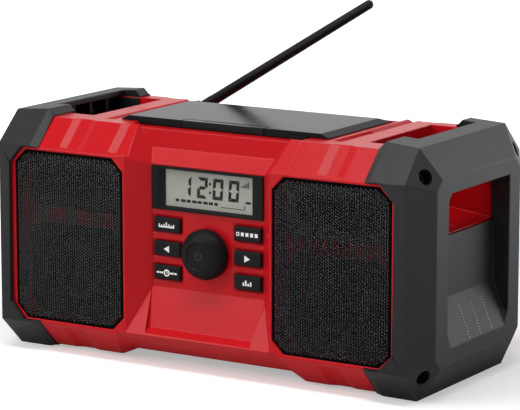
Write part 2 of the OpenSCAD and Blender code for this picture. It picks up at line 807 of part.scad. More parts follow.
// Basket: a flange on the baffle, a windowed drum behind it and a back plate
module driver_frame() translate([grille_x, 0, driver_z]) difference() {
  union() {
    prism_y(cut_rect(flange_w, driver_d, flange_cut), baffle_y - 2.5, baffle_y);
    rod_y(basket_d, baffle_y - 1, baffle_y + 17);
  }
  rod_y(basket_d - 4, baffle_y - 0.5, baffle_y + 15);
  rod_y(driver_d - 13, baffle_y - 3, baffle_y + 1);
  rod_y(18, baffle_y, baffle_y + 20);
  for (a = [0:45:135]) rotate([0, a, 0]) block([-basket_d, baffle_back + 2, -7],
    [basket_d, baffle_y + 12, 7]);
  driver_screw_places() rod_y(speaker_screw_d, 0, baffle_y + 3);
}

module driver_magnet() translate([grille_x, 0, driver_z]) difference() {
  rod_y(52, baffle_y + 17, baffle_y + 33);
  rod_y(10, baffle_y + 16, baffle_y + 29);
  difference() {
    rod_y(2*coil_r + 1.6, baffle_y + 16, baffle_y + coil_y + 2);
    rod_y(2*coil_r - 1.6, baffle_y + 15, baffle_y + coil_y + 3);
  }
}

module driver_cone() translate([grille_x, baffle_y, driver_z]) rotate([-90, 0, 0])
  rotate_extrude() polygon([[coil_r - 0.3, 11], [driver_d/2 - 12.8, 0.2], [driver_d/2 - 12.8, 1.2],
    [coil_r + 0.3, 12.2], [coil_r + 0.3, coil_y], [coil_r - 0.3, coil_y]]);

module driver_surround() translate([grille_x, baffle_y, driver_z]) rotate([-90, 0, 0])
  rotate_extrude() difference() {
    union() {
      translate([driver_d/2 - 9.8, 0]) circle(r = 3, $fn = 32);
      translate([driver_d/2 - 13.6, -0.3]) square([7, 0.4]);
    }
    translate([driver_d/2 - 9.8, 0.6]) circle(r = 2.6, $fn = 32);
    translate([driver_d/2 - 16, 0.1]) square([12, 5]);
  }

module dust_cap() translate([grille_x, baffle_y + 15, driver_z]) intersection() {
  difference() {
    sphere(r = 11.5, $fn = 48);
    sphere(r = 10.7, $fn = 48);
  }
  rod_y(20, -12, -5.6);
}

module radiator_surround() translate([grille_x, 0, radiator_z]) difference() {
  prism_y(cut_rect(radiator_w, radiator_h, 5), baffle_y - 2, baffle_y);
  stadium(radiator_w - 2*radiator_roll, radiator_h - 2*radiator_roll, baffle_y - 3, baffle_y + 1);
  radiator_screw_places() rod_y(speaker_screw_d, baffle_y - 4, baffle_y + 1);
}

// Plate glued on the surround, with a stiffening rib that reaches into its opening
module radiator_plate() translate([grille_x, 0, radiator_z]) {
  lap = 1.5;
  w = radiator_w - 2*radiator_roll;
  h = radiator_h - 2*radiator_roll;
  stadium(w + 2*lap, h + 2*lap, baffle_y - 3.2, baffle_y - 2);
  stadium(w - 0.6*h, 0.4*h, baffle_y - 2.1, baffle_y - 1);
}

module left_driver_frame() color(black) placed() mirror([1, 0, 0]) driver_frame();
module right_driver_frame() color(black) placed() driver_frame();
module left_driver_magnet() color(grey) placed() mirror([1, 0, 0]) driver_magnet();
module right_driver_magnet() color(grey) placed() driver_magnet();
module left_driver_cone() color(rubber) placed() mirror([1, 0, 0]) driver_cone();
module right_driver_cone() color(rubber) placed() driver_cone();
module left_driver_surround() color(black) placed() mirror([1, 0, 0]) driver_surround();
module right_driver_surround() color(black) placed() driver_surround();
module left_dust_cap() color(steel) placed() mirror([1, 0, 0]) dust_cap();
module right_dust_cap() color(steel) placed() dust_cap();
module left_radiator_surround() color(black) placed() mirror([1, 0, 0]) radiator_surround();
module right_radiator_surround() color(black) placed() radiator_surround();
module left_radiator_plate() color(rubber) placed() mirror([1, 0, 0]) radiator_plate();
module right_radiator_plate() color(rubber) placed() radiator_plate();

module speaker_screw() {
  rod_y(speaker_screw_d - 0.1, -2, baffle_t);
  rod_y(5.4, -3.2, -1.9);
}

module speaker_screws() color(steel) placed() both_sides() {
  translate([grille_x, baffle_y - 0.6, driver_z]) driver_screw_places() speaker_screw();
  translate([grille_x, baffle_y - 0.1, radiator_z]) radiator_screw_places() speaker_screw();
}

// ---- display and controls ----

module display_bezel() color(black) placed() translate([0, 0, bezel_zc]) difference() {
  union() {
    block([-bezel_x, console_y - bezel_t, -bezel_h/2], [bezel_x, console_y, bezel_h/2]);
    block([-window_w/2 - 3.2, console_y - eps, -window_h/2 - 0.9],
      [window_w/2 + 3.2, console_back, window_h/2 + 0.9]);
  }
  frustum_y(window_w + 10, window_h + 2, console_y - bezel_t - eps, window_w, window_h, console_y + 0.6);
  block([-window_w/2, console_y, -window_h/2], [window_w/2, console_back + 1, window_h/2]);
}

module display_window() color(glass, 0.5) placed() translate([0, 0, bezel_zc])
  block([-window_w/2 + 0.1, console_y + 0.7, -window_h/2 + 0.1],
    [window_w/2 - 0.1, console_y + 1.7, window_h/2 - 0.1]);

module lcd_panel() color(glass) placed() translate([0, 0, bezel_zc]) {
  block([-window_w/2 + 0.1, console_y + 1.8, -window_h/2 + 0.1],
    [window_w/2 - 0.1, console_back + 0.2, window_h/2 - 0.1]);
  block([-window_w/2 - 2, console_back + 0.2 - eps, -window_h/2 - 1],
    [window_w/2 + 2, board_y, window_h/2 + 1]);
}

// Board behind the console; it sits on four stand-offs of its own
module control_board() color("#1d5a36") placed() {
  foot_x = (button_x - button_w/2)/2;
  z0 = ramp_z1 + 1;
  z1 = bezel_z1;
  difference() {
    union() {
      block([-board_w/2, board_y, z0], [board_w/2, board_y + board_t, z1]);
      for (x = [-foot_x, foot_x], z = [z0 + 3, bezel_z0 - 3]) translate([x, 0, z])
        rod_y(4, console_back, board_y + eps);
    }
    translate([0, 0, knob_z]) rod_y(shaft_d + 4, board_y - 1, board_y + board_t + 1);
  }
}

switch_gap = 0.2;
stem_end = board_y - 3.6 - button_travel - switch_gap;

module button_switches() color(steel) placed() button_places() {
  block([-3, board_y - 3, -3], [3, board_y, 3]);
  rod_y(3, board_y - 3.6, board_y - 3 + eps);
}

// A cap with a chamfered front, a retaining flange and a stem towards its switch
module push_button() {
  y0 = console_y - button_proud;
  y1 = y0 + button_edge;
  in = 2*button_edge;
  frustum_y(button_w - in, button_h - in, y0, button_w, button_h, y1);
  block([-button_w/2, y1 - eps, -button_h/2], [button_w/2, console_back + 0.4, button_h/2]);
  block([-button_w/2 - 1.2, console_back + 0.3, -button_h/2 - 1.2],
    [button_w/2 + 1.2, console_back + 1.3, button_h/2 + 1.2]);
  rod_y(4, console_back + 1, stem_end);
}

module button_at(column, row) color(black) placed()
  translate([column*button_x, 0, knob_z + row*button_pitch]) push_button();

module band_button() button_at(-1, 1);
module previous_button() button_at(-1, 0);
module clock_button() button_at(-1, -1);
module memory_button() button_at(1, 1);
module next_button() button_at(1, 0);
module tone_button() button_at(1, -1);

knob_y1 = console_y - 0.6 - knob_travel;
knob_y0 = knob_y1 - knob_len;
encoder_y0 = console_back + 1;

module encoder_body() color(steel) placed() translate([0, 0, knob_z]) difference() {
  block([-7, encoder_y0, -7], [7, board_y, 7]);
  rod_y(shaft_d + 2 + 2*run_gap, encoder_y0 - 1, board_y + 1);
}

// Sleeve that slides in the encoder body when the knob is pushed
module encoder_sleeve() color("#8a8d92") placed() translate([0, 0, knob_z]) difference() {
  rod_y(shaft_d + 2, encoder_y0 - 1, board_y - 1.5);
  rod_y(shaft_d + 2*run_gap, encoder_y0 - 2, board_y - 3);
}

module encoder_shaft() color("#c8cacd") placed() translate([0, 0, knob_z])
  rod_y(shaft_d, knob_y0 + 4, board_y - 3.2);

module control_knob() color(black) placed() translate([0, knob_y1, knob_z]) rotate([90, 0, 0]) {
  r = knob_d/2;
  h = knob_len;
  difference() {
    rotate_extrude($fn = 96) polygon([[0, 0], [r, 0], [r, h*0.38], [r - 0.9, h*0.55],
      [r - 2.6, h*0.74], [r - 5.2, h*0.9], [r - 8, h*0.985], [r - 8.7, h], [r - 9.3, h*0.95],
      [r - 10.2, h*0.935], [0, h*0.925]]);
    translate([0, 0, -1]) difference() {
      cylinder(r = r - 2, h = h*0.4 + 1);
      cylinder(r = shaft_d/2 + 2.5, h = h);
    }
    translate([0, 0, -1]) cylinder(d = shaft_d, h = h - 3);
  }
}

// ---- compartment, lid and latch ----

module compartment_tray() color(black) placed() difference() {
  union() {
    round_tray(tray_wall, tray_z0, tray_z1);
    round_tray(tray_wall + tray_lip, tray_z1 - tray_lip_t, tray_z1);
  }
  round_tray(0, tray_z0 + tray_wall, tray_z1 + 1);
  socket_places() socket_cut(tray_wall + 1);
}

module socket_places() translate([-tray_w/2, (tray_y0 + tray_y1)/2, tray_z0 + tray_wall + 10])
  children();

// Holes for the two sockets through the tray's wall; deep continues them into the case
module socket_cut(deep) {
  translate([0, socket_dy, 0]) block([-deep, -7.2 - fit_gap, -3.7 - fit_gap],
    [1, 7.2 + fit_gap, 3.7 + fit_gap]);
  translate([0, -socket_dy, 0]) rod_x(8 + 2*fit_gap, -deep, 1);
}

module charging_socket() color(steel) placed() socket_places() translate([0, socket_dy, 0])
  difference() {
    block([-socket_len, -7.2, -3.7], [0.6, 7.2, 3.7]);
    block([-socket_len + 1, -6.2, -2.7], [1, 6.2, 2.7]);
  }

module audio_socket() color(black) placed() socket_places() translate([0, -socket_dy, 0]) difference() {
  union() {
    rod_x(8, -socket_len, 1);
    rod_x(10.5, 0.02, 1);
  }
  rod_x(3.6, -socket_len + 1, 2);
}

module lid_seal() color(rubber) placed() difference() {
  round_tray(tray_wall + tray_lip - 0.5, tray_z1, tray_z1 + seal_t);
  round_tray(0.8, tray_z1 - 1, tray_z1 + 2);
}

// Lid plate with bevelled sides and rear, a skirt in front and two hinge barrels
module compartment_lid() color(grey) placed() {
  w = lid_w/2;
  b = lid_bevel;
  y1 = lid_y1 - 0.5;
  difference() {
    intersection() {
      prism_x([[lid_y0, lid_z0], [y1, lid_z0], [y1, lid_z0 + 0.6], [y1 - b - 1.5, lid_z1],
        [lid_y0 + 0.6, lid_z1]], -w, w);
      prism_y([[-w, lid_z0], [w, lid_z0], [w, lid_z0 + 0.6], [w - b, lid_z1], [-w + b, lid_z1],
        [-w, lid_z0 + 0.6]], 0, case_d);
    }
    latch_room();
  }
  difference() {
    block([-skirt_w/2, lid_y0, skirt_z], [skirt_w/2, lid_y0 + skirt_t, lid_z0 + eps]);
    latch_room();
  }
  for (x = hinge_xs) difference() {
    union() {
      translate([0, hinge_y, hinge_z]) rod_x(2*hinge_r, x - hinge_len/2, x + hinge_len/2);
      prism_x([[hinge_y - hinge_r, hinge_z], [hinge_y - hinge_r - 1.6, lid_z0],
        [hinge_y - hinge_r - 1.6, lid_z0 + 1], [hinge_y - 0.5, lid_z0 + 0.5],
        [hinge_y, hinge_z + hinge_r*0.7]], x - hinge_len/2, x + hinge_len/2);
    }
    translate([0, hinge_y, hinge_z]) rod_x(hinge_pin_d + 2*run_gap, x - hinge_len, x + hinge_len);
  }
}

// Room for the latch in the lid, with the holes for its pin
module latch_room() {
  x = latch_w/2 + latch_slit;
  block([-x, lid_y0 - 1, skirt_z - 1], [x, latch_y1 + latch_slit, lid_z1 + 1]);
  translate([0, latch_pin_y, latch_pin_z]) rod_x(latch_pin_d + 2*run_gap, -x - 3.2, x + 3.2);
}

// Tab with a front lip, a tongue towards the catch and a finger groove on top
module lid_latch() color(grey) placed() difference() {
  w = latch_w/2;
  z1 = lid_z1 - 0.1;
  union() {
    prism_x([[lid_y0, skirt_z], [lid_y0 + 2.4, skirt_z], [lid_y0 + 2.4, lid_z0], [latch_y1 - 2, lid_z0],
      [latch_y1, lid_z0 + 1.8], [latch_y1, z1], [lid_y0 + 0.6, z1], [lid_y0, z1 - 0.6]], -w, w);
    block([-w/2, catch_y0, step_z - catch_depth], [w/2, catch_y1, lid_z0 + 0.5]);
  }
  block([-w*0.55, latch_y1 - 2.4, z1 - 0.6], [w*0.85, latch_y1 - 1.2, z1 + 1]);
  translate([0, latch_pin_y, latch_pin_z]) rod_x(latch_pin_d + 2*run_gap, -w - 1, w + 1);
}

module latch_pin() color(steel) placed() translate([0, latch_pin_y, latch_pin_z])
  rod_x(latch_pin_d, -latch_w/2 - latch_slit - 3, latch_w/2 + latch_slit + 3);

module lid_hinge_pin() color(steel) placed() translate([0, hinge_y, hinge_z])
  rod_x(hinge_pin_d, hinge_xs[0] - hinge_len/2 - ear_t - 0.4, hinge_xs[1] + hinge_len/2 + ear_t + 0.4);

// ---- antenna ----

module antenna_place() translate([-antenna_x, antenna_y, antenna_z]) children();

module antenna_base() color(black) placed() {
  antenna_place() difference() {
    union() {
      translate([0, 0, ledge_z + 0.1 - antenna_z]) cylinder(d = swivel_d, h = base_t);
      for (s = [-1, 1]) intersection() {
        union() {
          translate([0, s*(fork_gap + fork_t)/2, 0]) rod_y(10, -fork_t/2, fork_t/2);
          translate([0, s*(fork_gap + fork_t)/2, 0])
            block([-5, -fork_t/2, ledge_z + 0.5 - antenna_z], [5, fork_t/2, 0]);
        }
        translate([0, 0, -30]) cylinder(d = swivel_d, h = 60);
      }
    }
    rod_y(pin_d + 2*run_gap, -20, 20);
  }
  translate([-antenna_x, antenna_y, ledge_z - swivel_deep])
    cylinder(d = swivel_d - 3, h = swivel_deep + 0.5);
}

module antenna_pin() color(steel) placed() antenna_place()
  rod_y(pin_d, -fork_gap/2 - fork_t + 0.2, fork_gap/2 + fork_t - 0.2);

// Local X runs along the rod
module along_antenna() antenna_place() rotate([0, -antenna_tilt, 0]) children();

// Tongue in the fork, then the socket that the rod is fixed in
module antenna_ferrule() color(black) placed() along_antenna() difference() {
  union() {
    rod_x(antenna_d, swivel_d/2 + 0.4, ferrule_len);
    intersection() {
      union() {
        rod_y(2*tongue_r, -fork_gap/2 + 0.15, fork_gap/2 - 0.15);
        block([0, -fork_gap/2 + 0.15, -tongue_r], [swivel_d/2 + 1, fork_gap/2 - 0.15, tongue_r]);
      }
      rod_x(antenna_d, -tongue_r, swivel_d/2 + 1);
    }
  }
  rod_y(pin_d + 2*run_gap, -20, 20);
  rod_x(5, ferrule_len - 10, ferrule_len + 1);
}

module antenna_rod() color(black) placed() along_antenna() {
  rod_x(4.9, ferrule_len - 9.8, ferrule_len + 0.1);
  translate([ferrule_len, 0, 0]) rotate([0, 90, 0])
    cylinder(d1 = antenna_d - 0.4, d2 = antenna_tip_d, h = antenna_len - ferrule_len - antenna_tip_d/2);
  translate([antenna_len - antenna_tip_d/2, 0, 0]) sphere(d = antenna_tip_d, $fn = 48);
}

// ---- inside and back ----

module main_board() color("#1d5a36") placed() {
  x1 = main_x0 + main_size[0];
  y1 = main_y0 + main_size[1];
  top = main_z + board_t - eps;
  block([main_x0, main_y0, main_z], [x1, y1, main_z + board_t]);
  for (x = [main_x0 + 4, x1 - 4], y = [main_y0 + 4, y1 - 4]) translate([x, y, floor_z])
    cylinder(d = 6, h = main_z - floor_z + eps);
  for (i = [0:3]) translate([main_x0 + (i + 0.8)*main_size[0]/5, main_y0 + main_size[1]*0.36, top])
    cylinder(d = 8, h = 12 + 2*(i % 2));
  block([main_x0 + main_size[0]*0.1, main_y0 + main_size[1]*0.64, top],
    [main_x0 + main_size[0]*0.7, main_y0 + main_size[1]*0.88, main_z + board_t + 4]);
}

module power_transformer() color(grey) placed() {
  s = transformer_size;
  x0 = transformer_x - s[0]/2;
  z0 = core_low + wall;
  block([x0, transformer_y0, z0], [x0 + s[0], transformer_y0 + s[1], z0 + s[2]]);
  block([x0 + 7, transformer_y0 - 5, z0 + 6],
    [x0 + s[0] - 7, transformer_y0 + s[1] + 5, z0 + s[2] - 6]);
}

// Plate on the bay's inner wall with two hooked rails that a battery pack slides onto
module battery_dock() color(black) placed() difference() {
  y0 = bay_y + 0.1;
  y1 = y0 + dock_t;
  z0 = bay_z0 + 0.1;
  z1 = bay_z1 - 14;
  union() {
    block([-bay_w/2 + 8, y0, z0], [bay_w/2 - 8, y1, z1]);
    both_sides() {
      block([rail_x - 4, y0, rail_z0], [rail_x, y1 + 8, z1]);
      block([rail_x - 8, y1 + 5, rail_z0], [rail_x, y1 + 8, z1]);
    }
    block([-20, y0, rail_z0], [20, y1 + 5, blade_z0]);
  }
  terminal_blades(run_gap);
}

// Four contact blades; g is the clearance of the slots that they sit in
module terminal_blades(g = 0) {
  y1 = bay_y + 0.1 + dock_t;
  for (x = [-15, -5, 5, 15]) block([x - 0.5 - g, y1 - 1.5 - g, blade_z0],
    [x + 0.5 + g, y1 + 4, blade_z0 + 16 + g]);
}

module battery_terminals() color("#c9a54a") placed() terminal_blades();

module mains_inlet() color(black) placed() translate([inlet_x, 0, inlet_z]) difference() {
  union() {
    w = inlet_w/2 - fit_gap;
    h = inlet_h/2 - fit_gap;
    block([-w, bay_back - 1.9, -h], [w, bay_back + 0.4, h]);
    block([-w + 3, bay_back - inlet_deep + 0.2, -h + 3], [w - 3, bay_back - 1.8, h - 3]);
  }
  stadium(17, 9, bay_back - inlet_deep + 3, bay_back + 1);
}

module backup_cell() color(steel) placed() translate([-button_x, 0, ramp_z1 + 1 + cell_d])
  rod_y(cell_d, board_y + board_t, board_y + board_t + cell_t);

front_housing();
rear_housing();
left_end_cap();
right_end_cap();
end_cap_screws();
housing_screws();
left_grille();
right_grille();
left_driver_frame();
right_driver_frame();
left_driver_magnet();
right_driver_magnet();
left_driver_cone();
right_driver_cone();
left_driver_surround();
right_driver_surround();
left_dust_cap();
right_dust_cap();
left_radiator_surround();
right_radiator_surround();
left_radiator_plate();
right_radiator_plate();
speaker_screws();
display_bezel();
display_window();
lcd_panel();
control_board();
button_switches();
encoder_body();
encoder_sleeve();
encoder_shaft();
control_knob();
band_button();
previous_button();
clock_button();
memory_button();
next_button();
tone_button();
compartment_tray();
lid_seal();
compartment_lid();
lid_hinge_pin();
lid_latch();
latch_pin();
charging_socket();
audio_socket();
antenna_base();
antenna_pin();
antenna_ferrule();
antenna_rod();
main_board();
power_transformer();
battery_dock();
battery_terminals();
mains_inlet();
backup_cell();
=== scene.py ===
"""Looks of the jobsite radio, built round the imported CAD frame.

Lengths are in metres unless a name says mm. Outlines of figures and marks are drawn in mm.
"""

import json
import math

import bmesh
import bpy
import numpy as np
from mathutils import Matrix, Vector
from mathutils.bvhtree import BVHTree


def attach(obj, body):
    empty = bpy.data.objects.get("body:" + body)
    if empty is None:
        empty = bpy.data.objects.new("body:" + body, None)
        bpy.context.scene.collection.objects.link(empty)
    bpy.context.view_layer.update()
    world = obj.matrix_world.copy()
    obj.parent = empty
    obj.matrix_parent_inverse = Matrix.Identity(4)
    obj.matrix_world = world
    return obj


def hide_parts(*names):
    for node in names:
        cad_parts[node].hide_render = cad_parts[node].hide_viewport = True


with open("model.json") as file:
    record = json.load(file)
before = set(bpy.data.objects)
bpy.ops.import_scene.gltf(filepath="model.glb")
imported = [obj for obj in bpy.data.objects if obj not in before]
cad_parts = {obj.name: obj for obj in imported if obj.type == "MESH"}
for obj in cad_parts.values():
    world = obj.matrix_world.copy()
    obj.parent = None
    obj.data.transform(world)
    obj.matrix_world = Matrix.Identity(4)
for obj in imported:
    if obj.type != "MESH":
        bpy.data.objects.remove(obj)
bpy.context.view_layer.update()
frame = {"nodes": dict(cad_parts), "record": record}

MM = 0.001
NODES = frame["nodes"]
SLOTS = {row["node"]: row["material_slot"] for row in frame["record"]["subparts"]}
BODY_OF = {node: body for body, nodes in frame["record"]["behaviour"]["bodies"].items()
           for node in nodes}


def new_object(name, data):
    """An object with this data, put into the scene."""
    thing = bpy.data.objects.new(name, data)
    bpy.context.scene.collection.objects.link(thing)
    return thing


def look_along(thing, place, direction):
    """Sets a camera or a lamp at a place, looking along a direction with its width level."""
    thing.location = place
    thing.rotation_mode = "QUATERNION"
    thing.rotation_quaternion = direction.to_track_quat("-Z", "Y")


# ---------------------------------------------------------------- camera

CAMERA_AZIMUTH = 31.7      # degrees from straight in front, towards the right end
CAMERA_ELEVATION = 10.73   # degrees above the level
CAMERA_DISTANCE = 2.158
CAMERA_TARGET = Vector((0.02407, -0.035, 0.12937))
CAMERA_CLIP = (0.1, 50.0)
FOCAL_PIXELS = 2740.6
IMAGE_WIDTH = 520
SENSOR_MM = 36.0


def place_camera():
    """A long lens that looks down a little from the radio's right front."""
    data = bpy.data.cameras.new("camera")
    data.sensor_width = SENSOR_MM
    data.lens = FOCAL_PIXELS * SENSOR_MM / IMAGE_WIDTH
    data.clip_start, data.clip_end = CAMERA_CLIP
    camera = new_object("camera", data)
    a, e = math.radians(CAMERA_AZIMUTH), math.radians(CAMERA_ELEVATION)
    back = Vector((math.sin(a) * math.cos(e), -math.cos(a) * math.cos(e), math.sin(e)))
    look_along(camera, CAMERA_TARGET + back * CAMERA_DISTANCE, -back)
    bpy.context.scene.camera = camera


# ---------------------------------------------------------------- nodes of a shader

def feed(tree, inputs, values):
    """Gives each input its number or colour, or links it to the output that feeds it."""
    for key, value in values.items():
        if isinstance(value, bpy.types.NodeSocket):
            tree.links.new(value, inputs[key])
        else:
            inputs[key].default_value = value


def add_node(tree, kind, values=None, **settings):
    """One node with its settings, and then the values of its inputs as feed takes them."""
    node = tree.nodes.new(kind)
    for key, value in settings.items():
        setattr(node, key, value)
    feed(tree, node.inputs, values or {})
    return node


def calculate(tree, operation, *values, clamp=False):
    """The result of one step of arithmetic on numbers or outputs."""
    return add_node(tree, "ShaderNodeMath", dict(enumerate(values)), operation=operation,
                    use_clamp=clamp).outputs[0]


def map_range(tree, value, span, to=(0.0, 1.0), smooth=False):
    """A value within one span, taken to its place in another one. The ends are held."""
    return add_node(tree, "ShaderNodeMapRange",
                    {"Value": value, "From Min": span[0], "From Max": span[1],
                     "To Min": to[0], "To Max": to[1]},
                    interpolation_type="SMOOTHSTEP" if smooth else "LINEAR").outputs["Result"]


def blend(tree, share, low, high):
    """low + share * (high - low), where each of the three is a number or an output."""
    return map_range(tree, share, (0.0, 1.0), (low, high))


def object_point(tree):
    """The point of the surface in the object's own coordinates."""
    return add_node(tree, "ShaderNodeTexCoord").outputs["Object"]


# ---------------------------------------------------------------- shader groups

NOISE_ROUGHNESS = 0.55
SLOW_TO_FINE = 0.018            # scale of the shifts in gloss against that of the grain
TONE_NOISE_SPAN = (0.3, 0.7)
DUST_NOISE_SPAN = (0.42, 0.75)
UPWARD_SPAN = (0.2, 1.0)        # upward share of a normal, from no dust to all of it


def scaled_noise(tree, point, scale, factor, detail):
    """Noise on a point, at a scale that is a group input times a factor."""
    return add_node(tree, "ShaderNodeTexNoise",
                    {"Vector": point, "Scale": calculate(tree, "MULTIPLY", scale, factor),
                     "Detail": detail, "Roughness": NOISE_ROUGHNESS}).outputs["Fac"]


def new_group(name, inputs, outputs):
    """An empty shader node group and what it is given. inputs is {name: default}, and
    outputs is {name: kind}."""
    group = bpy.data.node_groups.new(name, "ShaderNodeTree")
    for label, value in inputs.items():
        kind = "NodeSocketColor" if isinstance(value, tuple) else "NodeSocketFloat"
        socket = group.interface.new_socket(label, in_out="INPUT", socket_type=kind)
        socket.default_value = value
    for label, kind in outputs.items():
        group.interface.new_socket(label, in_out="OUTPUT", socket_type=kind)
    return group, add_node(group, "NodeGroupInput").outputs


def make_mould_grain():
    """Spark-eroded mould texture: a fine noise as height, and a slow one that shifts the gloss."""
    group, given = new_group("mould_grain", {"Scale": 1500.0, "Gloss": 0.4, "Gloss Shift": 0.05},
                             {"Height": "NodeSocketFloat", "Roughness": "NodeSocketFloat"})
    point = object_point(group)
    fine = scaled_noise(group, point, given["Scale"], 1.0, 2.0)
    slow = scaled_noise(group, point, given["Scale"], SLOW_TO_FINE, 3.0)
    centred = calculate(group, "SUBTRACT", slow, 0.5)
    gloss = calculate(group, "MULTIPLY_ADD", centred, given["Gloss Shift"], given["Gloss"])
    add_node(group, "NodeGroupOutput", {"Height": fine, "Roughness": gloss})
    return group


def make_tone_drift():
    """A colour that drifts a little between two tones over some centimetres, as moulded
    plastic does: the tone times a noise that runs from 1 - drift to 1 + drift."""
    group, given = new_group("tone_drift",
                             {"Tone": (0.5, 0.5, 0.5, 1.0), "Drift": 0.06, "Scale": 22.0},
                             {"Color": "NodeSocketColor"})
    slow = scaled_noise(group, object_point(group), given["Scale"], 1.0, 4.0)
    ends = [calculate(group, way, 1.0, given["Drift"]) for way in ("SUBTRACT", "ADD")]
    drifting = add_node(group, "ShaderNodeVectorMath",
                        {0: given["Tone"], "Scale": map_range(group, slow, TONE_NOISE_SPAN, ends)},
                        operation="SCALE")
    add_node(group, "NodeGroupOutput", {"Color": drifting.outputs["Vector"]})
    return group


def make_settled_dust():
    """A mask of fine dust: more on faces that look up, broken by noise."""
    group, given = new_group("settled_dust", {"Amount": 0.1, "Scale": 60.0},
                             {"Mask": "NodeSocketFloat"})
    normal = add_node(group, "ShaderNodeNewGeometry").outputs["Normal"]
    split = add_node(group, "ShaderNodeSeparateXYZ", {0: normal})
    upward = map_range(group, split.outputs["Z"], UPWARD_SPAN)
    patches = scaled_noise(group, object_point(group), given["Scale"], 1.0, 6.0)
    settled = calculate(group, "MULTIPLY", upward, map_range(group, patches, DUST_NOISE_SPAN))
    mask = calculate(group, "MULTIPLY", settled, given["Amount"], clamp=True)
    add_node(group, "NodeGroupOutput", {"Mask": mask})
    return group


def make_brushed_lines():
    """Fine turned or brushed lines: noise that is stretched along one axis of the object."""
    group, given = new_group("brushed_lines", {"Scale": 900.0, "Stretch": 30.0},
                             {"Height": "NodeSocketFloat"})
    squeeze = add_node(group, "ShaderNodeCombineXYZ",
                       {"X": 1.0, "Y": calculate(group, "DIVIDE", 1.0, given["Stretch"]), "Z": 1.0})
    stretched = add_node(group, "ShaderNodeVectorMath",
                         {0: object_point(group), 1: squeeze.outputs[0]}, operation="MULTIPLY")
    lines = scaled_noise(group, stretched.outputs["Vector"], given["Scale"], 1.0, 2.0)
    add_node(group, "NodeGroupOutput", {"Height": lines})
    return group


MOULD_GRAIN = make_mould_grain()
TONE_DRIFT = make_tone_drift()
SETTLED_DUST = make_settled_dust()
BRUSHED_LINES = make_brushed_lines()


# ---------------------------------------------------------------- finishes

DUST_TONE = (0.42, 0.38, 0.33, 1.0)
GLOSS_SHIFT = 0.06
SHEEN_ROUGHNESS = 0.35


def new_material(name):
    """A material with nodes, its tree, and the inputs of its shader."""
    material = bpy.data.materials.new(name)
    material.use_nodes = True
    tree = material.node_tree
    return material, tree, tree.nodes["Principled BSDF"].inputs


def place_group(tree, group, values):
    """The outputs of a shader group that is placed in a material with its own values."""
    return add_node(tree, "ShaderNodeGroup", values, node_tree=group).outputs


def finish_of(name, tone, gloss, grain=1500.0, depth_mm=0.04, drift=0.05, dust=0.0,
              metal=0.0, sheen=0.0, coat=0.0, brushed=None, specular=0.25):
    """A finish for one stuff: drifting tone, mould grain or brushed lines as bump, and a
    little dust."""
    material, tree, shader = new_material(name)
    colour = place_group(tree, TONE_DRIFT, {"Tone": (*tone, 1.0), "Drift": drift})["Color"]
    surface = place_group(tree, MOULD_GRAIN,
                          {"Scale": grain, "Gloss": gloss, "Gloss Shift": GLOSS_SHIFT})
    relief = surface["Height"]
    if brushed:
        relief = place_group(tree, BRUSHED_LINES, {"Scale": grain, "Stretch": brushed})["Height"]
    bump = add_node(tree, "ShaderNodeBump",
                    {"Strength": 1.0, "Distance": depth_mm * MM, "Height": relief})
    if dust:
        mask = place_group(tree, SETTLED_DUST, {"Amount": dust})["Mask"]
        colour = add_node(tree, "ShaderNodeMix", {"Factor": mask, "A": colour, "B": DUST_TONE},
                          data_type="RGBA").outputs["Result"]
    feed(tree, shader, {"Base Color": colour, "Metallic": metal,
                        "Roughness": surface["Roughness"], "Specular IOR Level": specular,
                        "Sheen Weight": sheen, "Sheen Roughness": SHEEN_ROUGHNESS,
                        "Coat Weight": coat, "Normal": bump.outputs["Normal"]})
    return material


def clear_lens(name):
    """A thin clear pane: mostly see-through, with a clean gloss."""
    material, tree, shader = new_material(name)
    surface = place_group(tree, MOULD_GRAIN, {"Scale": 300.0, "Gloss": 0.08, "Gloss Shift": 0.04})
    feed(tree, shader, {"Base Color": (0.75, 0.77, 0.74, 1.0), "Alpha": 0.02,
                        "Specular IOR Level": 0.25, "Roughness": surface["Roughness"]})
    return material


